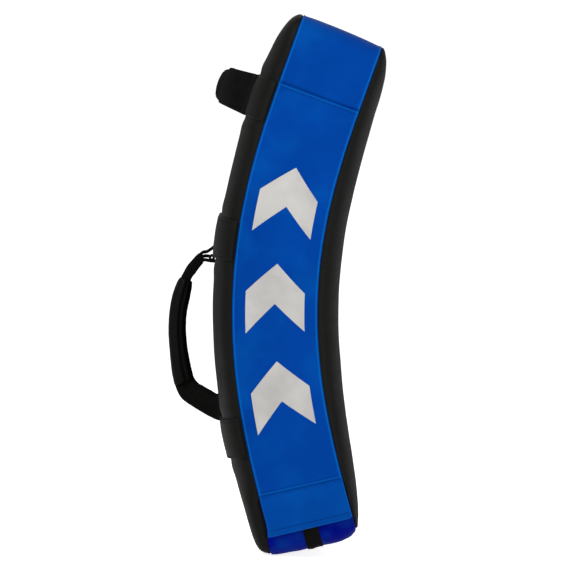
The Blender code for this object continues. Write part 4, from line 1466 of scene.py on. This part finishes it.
def flap():
    ds = list(np.linspace(flap_top, FLAP_SEAM - 0.008, 14)) + list(np.linspace(FLAP_SEAM - 0.009, flap_low + 0.011, 34))
    ds += list(np.linspace(flap_low + 0.0105, flap_low, 22))
    cols = [v * 0.985 for v in wall_columns(52)]
    P, Q, E = [], [], []
    for d in ds:
        s, x, ns, nx = corner_station(d)
        line, under, e = [], [], []
        edge = d - flap_low
        for n in cols:
            o = flap_offset(d, n)
            u = abs(n) / 0.0591
            thick = 0.0017
            thick *= 0.25 + 0.75 * smooth(edge / 0.0009) if edge < 0.0009 else 1
            # the lower corners are rounded
            pull = (0.0006 if n > 0 else 0.0022) * max(0.0, u - 0.90) ** 2 / 0.01 * (1 - smooth(edge / 0.006))
            dd = pull
            s2, x2, ns2, nx2 = corner_station(flap_tilt(d + dd, n))
            line.append(at(s2 + ns2 * o, x2 + nx2 * o, n))
            under.append(at(s2 + ns2 * (o - thick), x2 + nx2 * (o - thick), n))
            # painted highlight along the hem's free edge and the flap's two sides
            e.append(0.55 * math.exp(-((edge / 0.0012) ** 2)) + 0.6 * math.exp(-(((1 - u) / 0.02) ** 2)))
        P.append(line)
        Q.append(under)
        E.append(e)
    o = shell("closure_flap_skin", P, Q, FLAP_BLUE_LIT, edge=E, crisp=70, body=None)
    rows = []
    pts, nrm = [], []
    d = flap_low + 0.0070
    for n in np.linspace(-0.0562, 0.0562, 70):
        s, x, ns, nx = corner_station(flap_tilt(d, n))
        off = flap_offset(d, n) + 0.0001
        pts.append(at(s + ns * off, x + nx * off, n))
        nrm.append(np.array((nx, 0, 0)) + ns * np.array(up(s)))
    rows.append((pts, nrm))
    verts, faces = stitch_mesh(rows, pitch=0.0036)
    t = make("flap_stitches", verts, faces, THREAD_BLUE, body=None, crisp=180)
    for piece in (o, t):
        a, b = corner_station(FLAP_SEAM - 0.0005), corner_station(FLAP_SEAM - 0.010)
        at(a[0], a[1], 0)
        at(b[0], b[1], 0)
        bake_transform(piece)
    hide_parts("closure_flap")
    return o


flap()


# ------------------------------------------------------------------ webbing over the lower end
def end_webbing():
    st = outline(False, 0.0315, 0.0315, 0.003)
    cols = [-0.011, -0.0108, -0.0103, -0.0095] + spread(-0.0085, 0.0085, 15) + [0.0095, 0.0103, 0.0108, 0.011]
    P, Q, UV = [], [], []
    run = 0.0
    last = None
    for s, x, ns, nx in st:
        here = np.array((s, x))
        if last is not None:
            run += float(np.linalg.norm(here - last))
        last = here
        line, under, uv = [], [], []
        for c in cols:
            n = 0.002 + c
            far = 0.011 - abs(c)
            sel = 0.00035 * (1 - smooth((far - 0.0016) / 0.0006))
            o = 0.0011 + 0.0010 * math.sqrt(max(0.0, 1 - (1 - min(1.0, far / 0.0008)) ** 2)) + sel
            o += 0.0004 * noise3(run * 70, n * 60, 0, 61)
            o += 0.0010 * smooth(1 - abs(c - 0.0045) / 0.0060) * smooth((0.010 - s) / 0.012)
            line.append(at(s + ns * o, x + nx * o, n))
            under.append(at(s + ns * -0.0006, x + nx * -0.0006, n))
            uv.append((run, c))
        P.append(line)
        Q.append(under)
        UV.append(uv)
    o = shell("end_webbing_band", P, Q, WEBBING, uv=UV, crisp=60)
    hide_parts("end_webbing")


end_webbing()

# ------------------------------------------------------------------ CAD nodes that stay
for name, look in (
    ("strap_loop_tape", LOOP),
    ("strap_hook_tape", HOOK),
    ("gusset_hook_tape", HOOK),
    ("flap_loop_tape", LOOP),
):
    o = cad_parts[name]
    o.data.materials.clear()
    o.data.materials.append(look)

# ------------------------------------------------------------------ floor, light and camera
bpy.ops.mesh.primitive_plane_add(size=60, location=(0, 0, -0.0029))
floor = bpy.context.object
floor.name = "floor"
ground = Nodes("floor_white")
tone = ground.mix(ground.noise(0.6, 2.0), (0.86, 0.86, 0.86), (0.90, 0.90, 0.90))
floor.data.materials.append(ground.done(tone, 0.9, None, Specular_IOR_Level=0.1, Emission_Color=(1, 1, 1, 1)))
glow = ground.math("MULTIPLY_ADD", ground.add("ShaderNodeLightPath").outputs["Is Camera Ray"], 0.62, 0.22)
ground.t.links.new(glow, ground.shader.inputs["Emission Strength"])

world = bpy.data.worlds.new("studio")
bpy.context.scene.world = world
world.use_nodes = True
t = world.node_tree
t.nodes.clear()
output = t.nodes.new("ShaderNodeOutputWorld")
light = t.nodes.new("ShaderNodeBackground")
seen = t.nodes.new("ShaderNodeBackground")
pick = t.nodes.new("ShaderNodeMixShader")
path = t.nodes.new("ShaderNodeLightPath")
where = t.nodes.new("ShaderNodeTexCoord")
parts = t.nodes.new("ShaderNodeSeparateXYZ")
t.links.new(where.outputs["Generated"], parts.inputs[0])
ramp = t.nodes.new("ShaderNodeMapRange")
ramp.inputs["From Min"].default_value = -1.0
ramp.inputs["From Max"].default_value = 0.6
ramp.inputs["To Min"].default_value = 0.28
ramp.inputs["To Max"].default_value = 0.45
t.links.new(parts.outputs[0], ramp.inputs["Value"])
t.links.new(ramp.outputs[0], light.inputs["Strength"])
light.inputs["Color"].default_value = (1, 1, 1, 1)
seen.inputs["Color"].default_value = (1, 1, 1, 1)
seen.inputs["Strength"].default_value = 1.05
t.links.new(path.outputs["Is Camera Ray"], pick.inputs[0])
t.links.new(light.outputs[0], pick.inputs[1])
t.links.new(seen.outputs[0], pick.inputs[2])
t.links.new(pick.outputs[0], output.inputs[0])


def area(name, place, target, size, power):
    lamp = bpy.data.lights.new(name, "AREA")
    lamp.shape = "RECTANGLE"
    lamp.size, lamp.size_y = size
    lamp.energy = power
    o = bpy.data.objects.new(name, lamp)
    o.location = place
    o.rotation_mode = "QUATERNION"
    o.rotation_quaternion = (Vector(target) - Vector(place)).to_track_quat("-Z", "Y")
    bpy.context.scene.collection.objects.link(o)
    return o


middle = Vector((0, 0, 0.37))
area("key", (-2.2, 1.6, 2.4), middle, (1.6, 1.6), 80)
area("fill", (-2.2, -2.0, 1.2), middle, (1.6, 2.0), 52)
area("back_light", (2.6, 0.4, 2.2), middle, (2.0, 2.0), 5)

ELEVATION, DISTANCE, ROLL = 2.2, 9.0, 3.0793742
AIM = (0.0, 0.064658 - SHIFT[0], 0.3509513 - SHIFT[1])
LENS = 404.84346
cam = bpy.data.cameras.new("camera")
cam.lens = LENS
cam.sensor_width = 36
camera = bpy.data.objects.new("camera", cam)
e = math.radians(ELEVATION)
ahead = Vector((math.cos(e), 0, -math.sin(e)))
right0 = Vector((0, -1, 0))
up0 = right0.cross(ahead)
r = math.radians(ROLL)
cam_up = up0 * math.cos(r) - right0 * math.sin(r)
cam_right = right0 * math.cos(r) + up0 * math.sin(r)
camera.rotation_mode = "QUATERNION"
camera.rotation_quaternion = Matrix((cam_right, cam_up, -ahead)).transposed().to_quaternion()
camera.location = Vector(AIM) - ahead * DISTANCE
cam.clip_start, cam.clip_end = 0.1, 100
bpy.context.scene.collection.objects.link(camera)
bpy.context.scene.camera = camera
bpy.context.scene.view_settings.view_transform = "Standard"
bpy.context.scene.view_settings.look = "None"
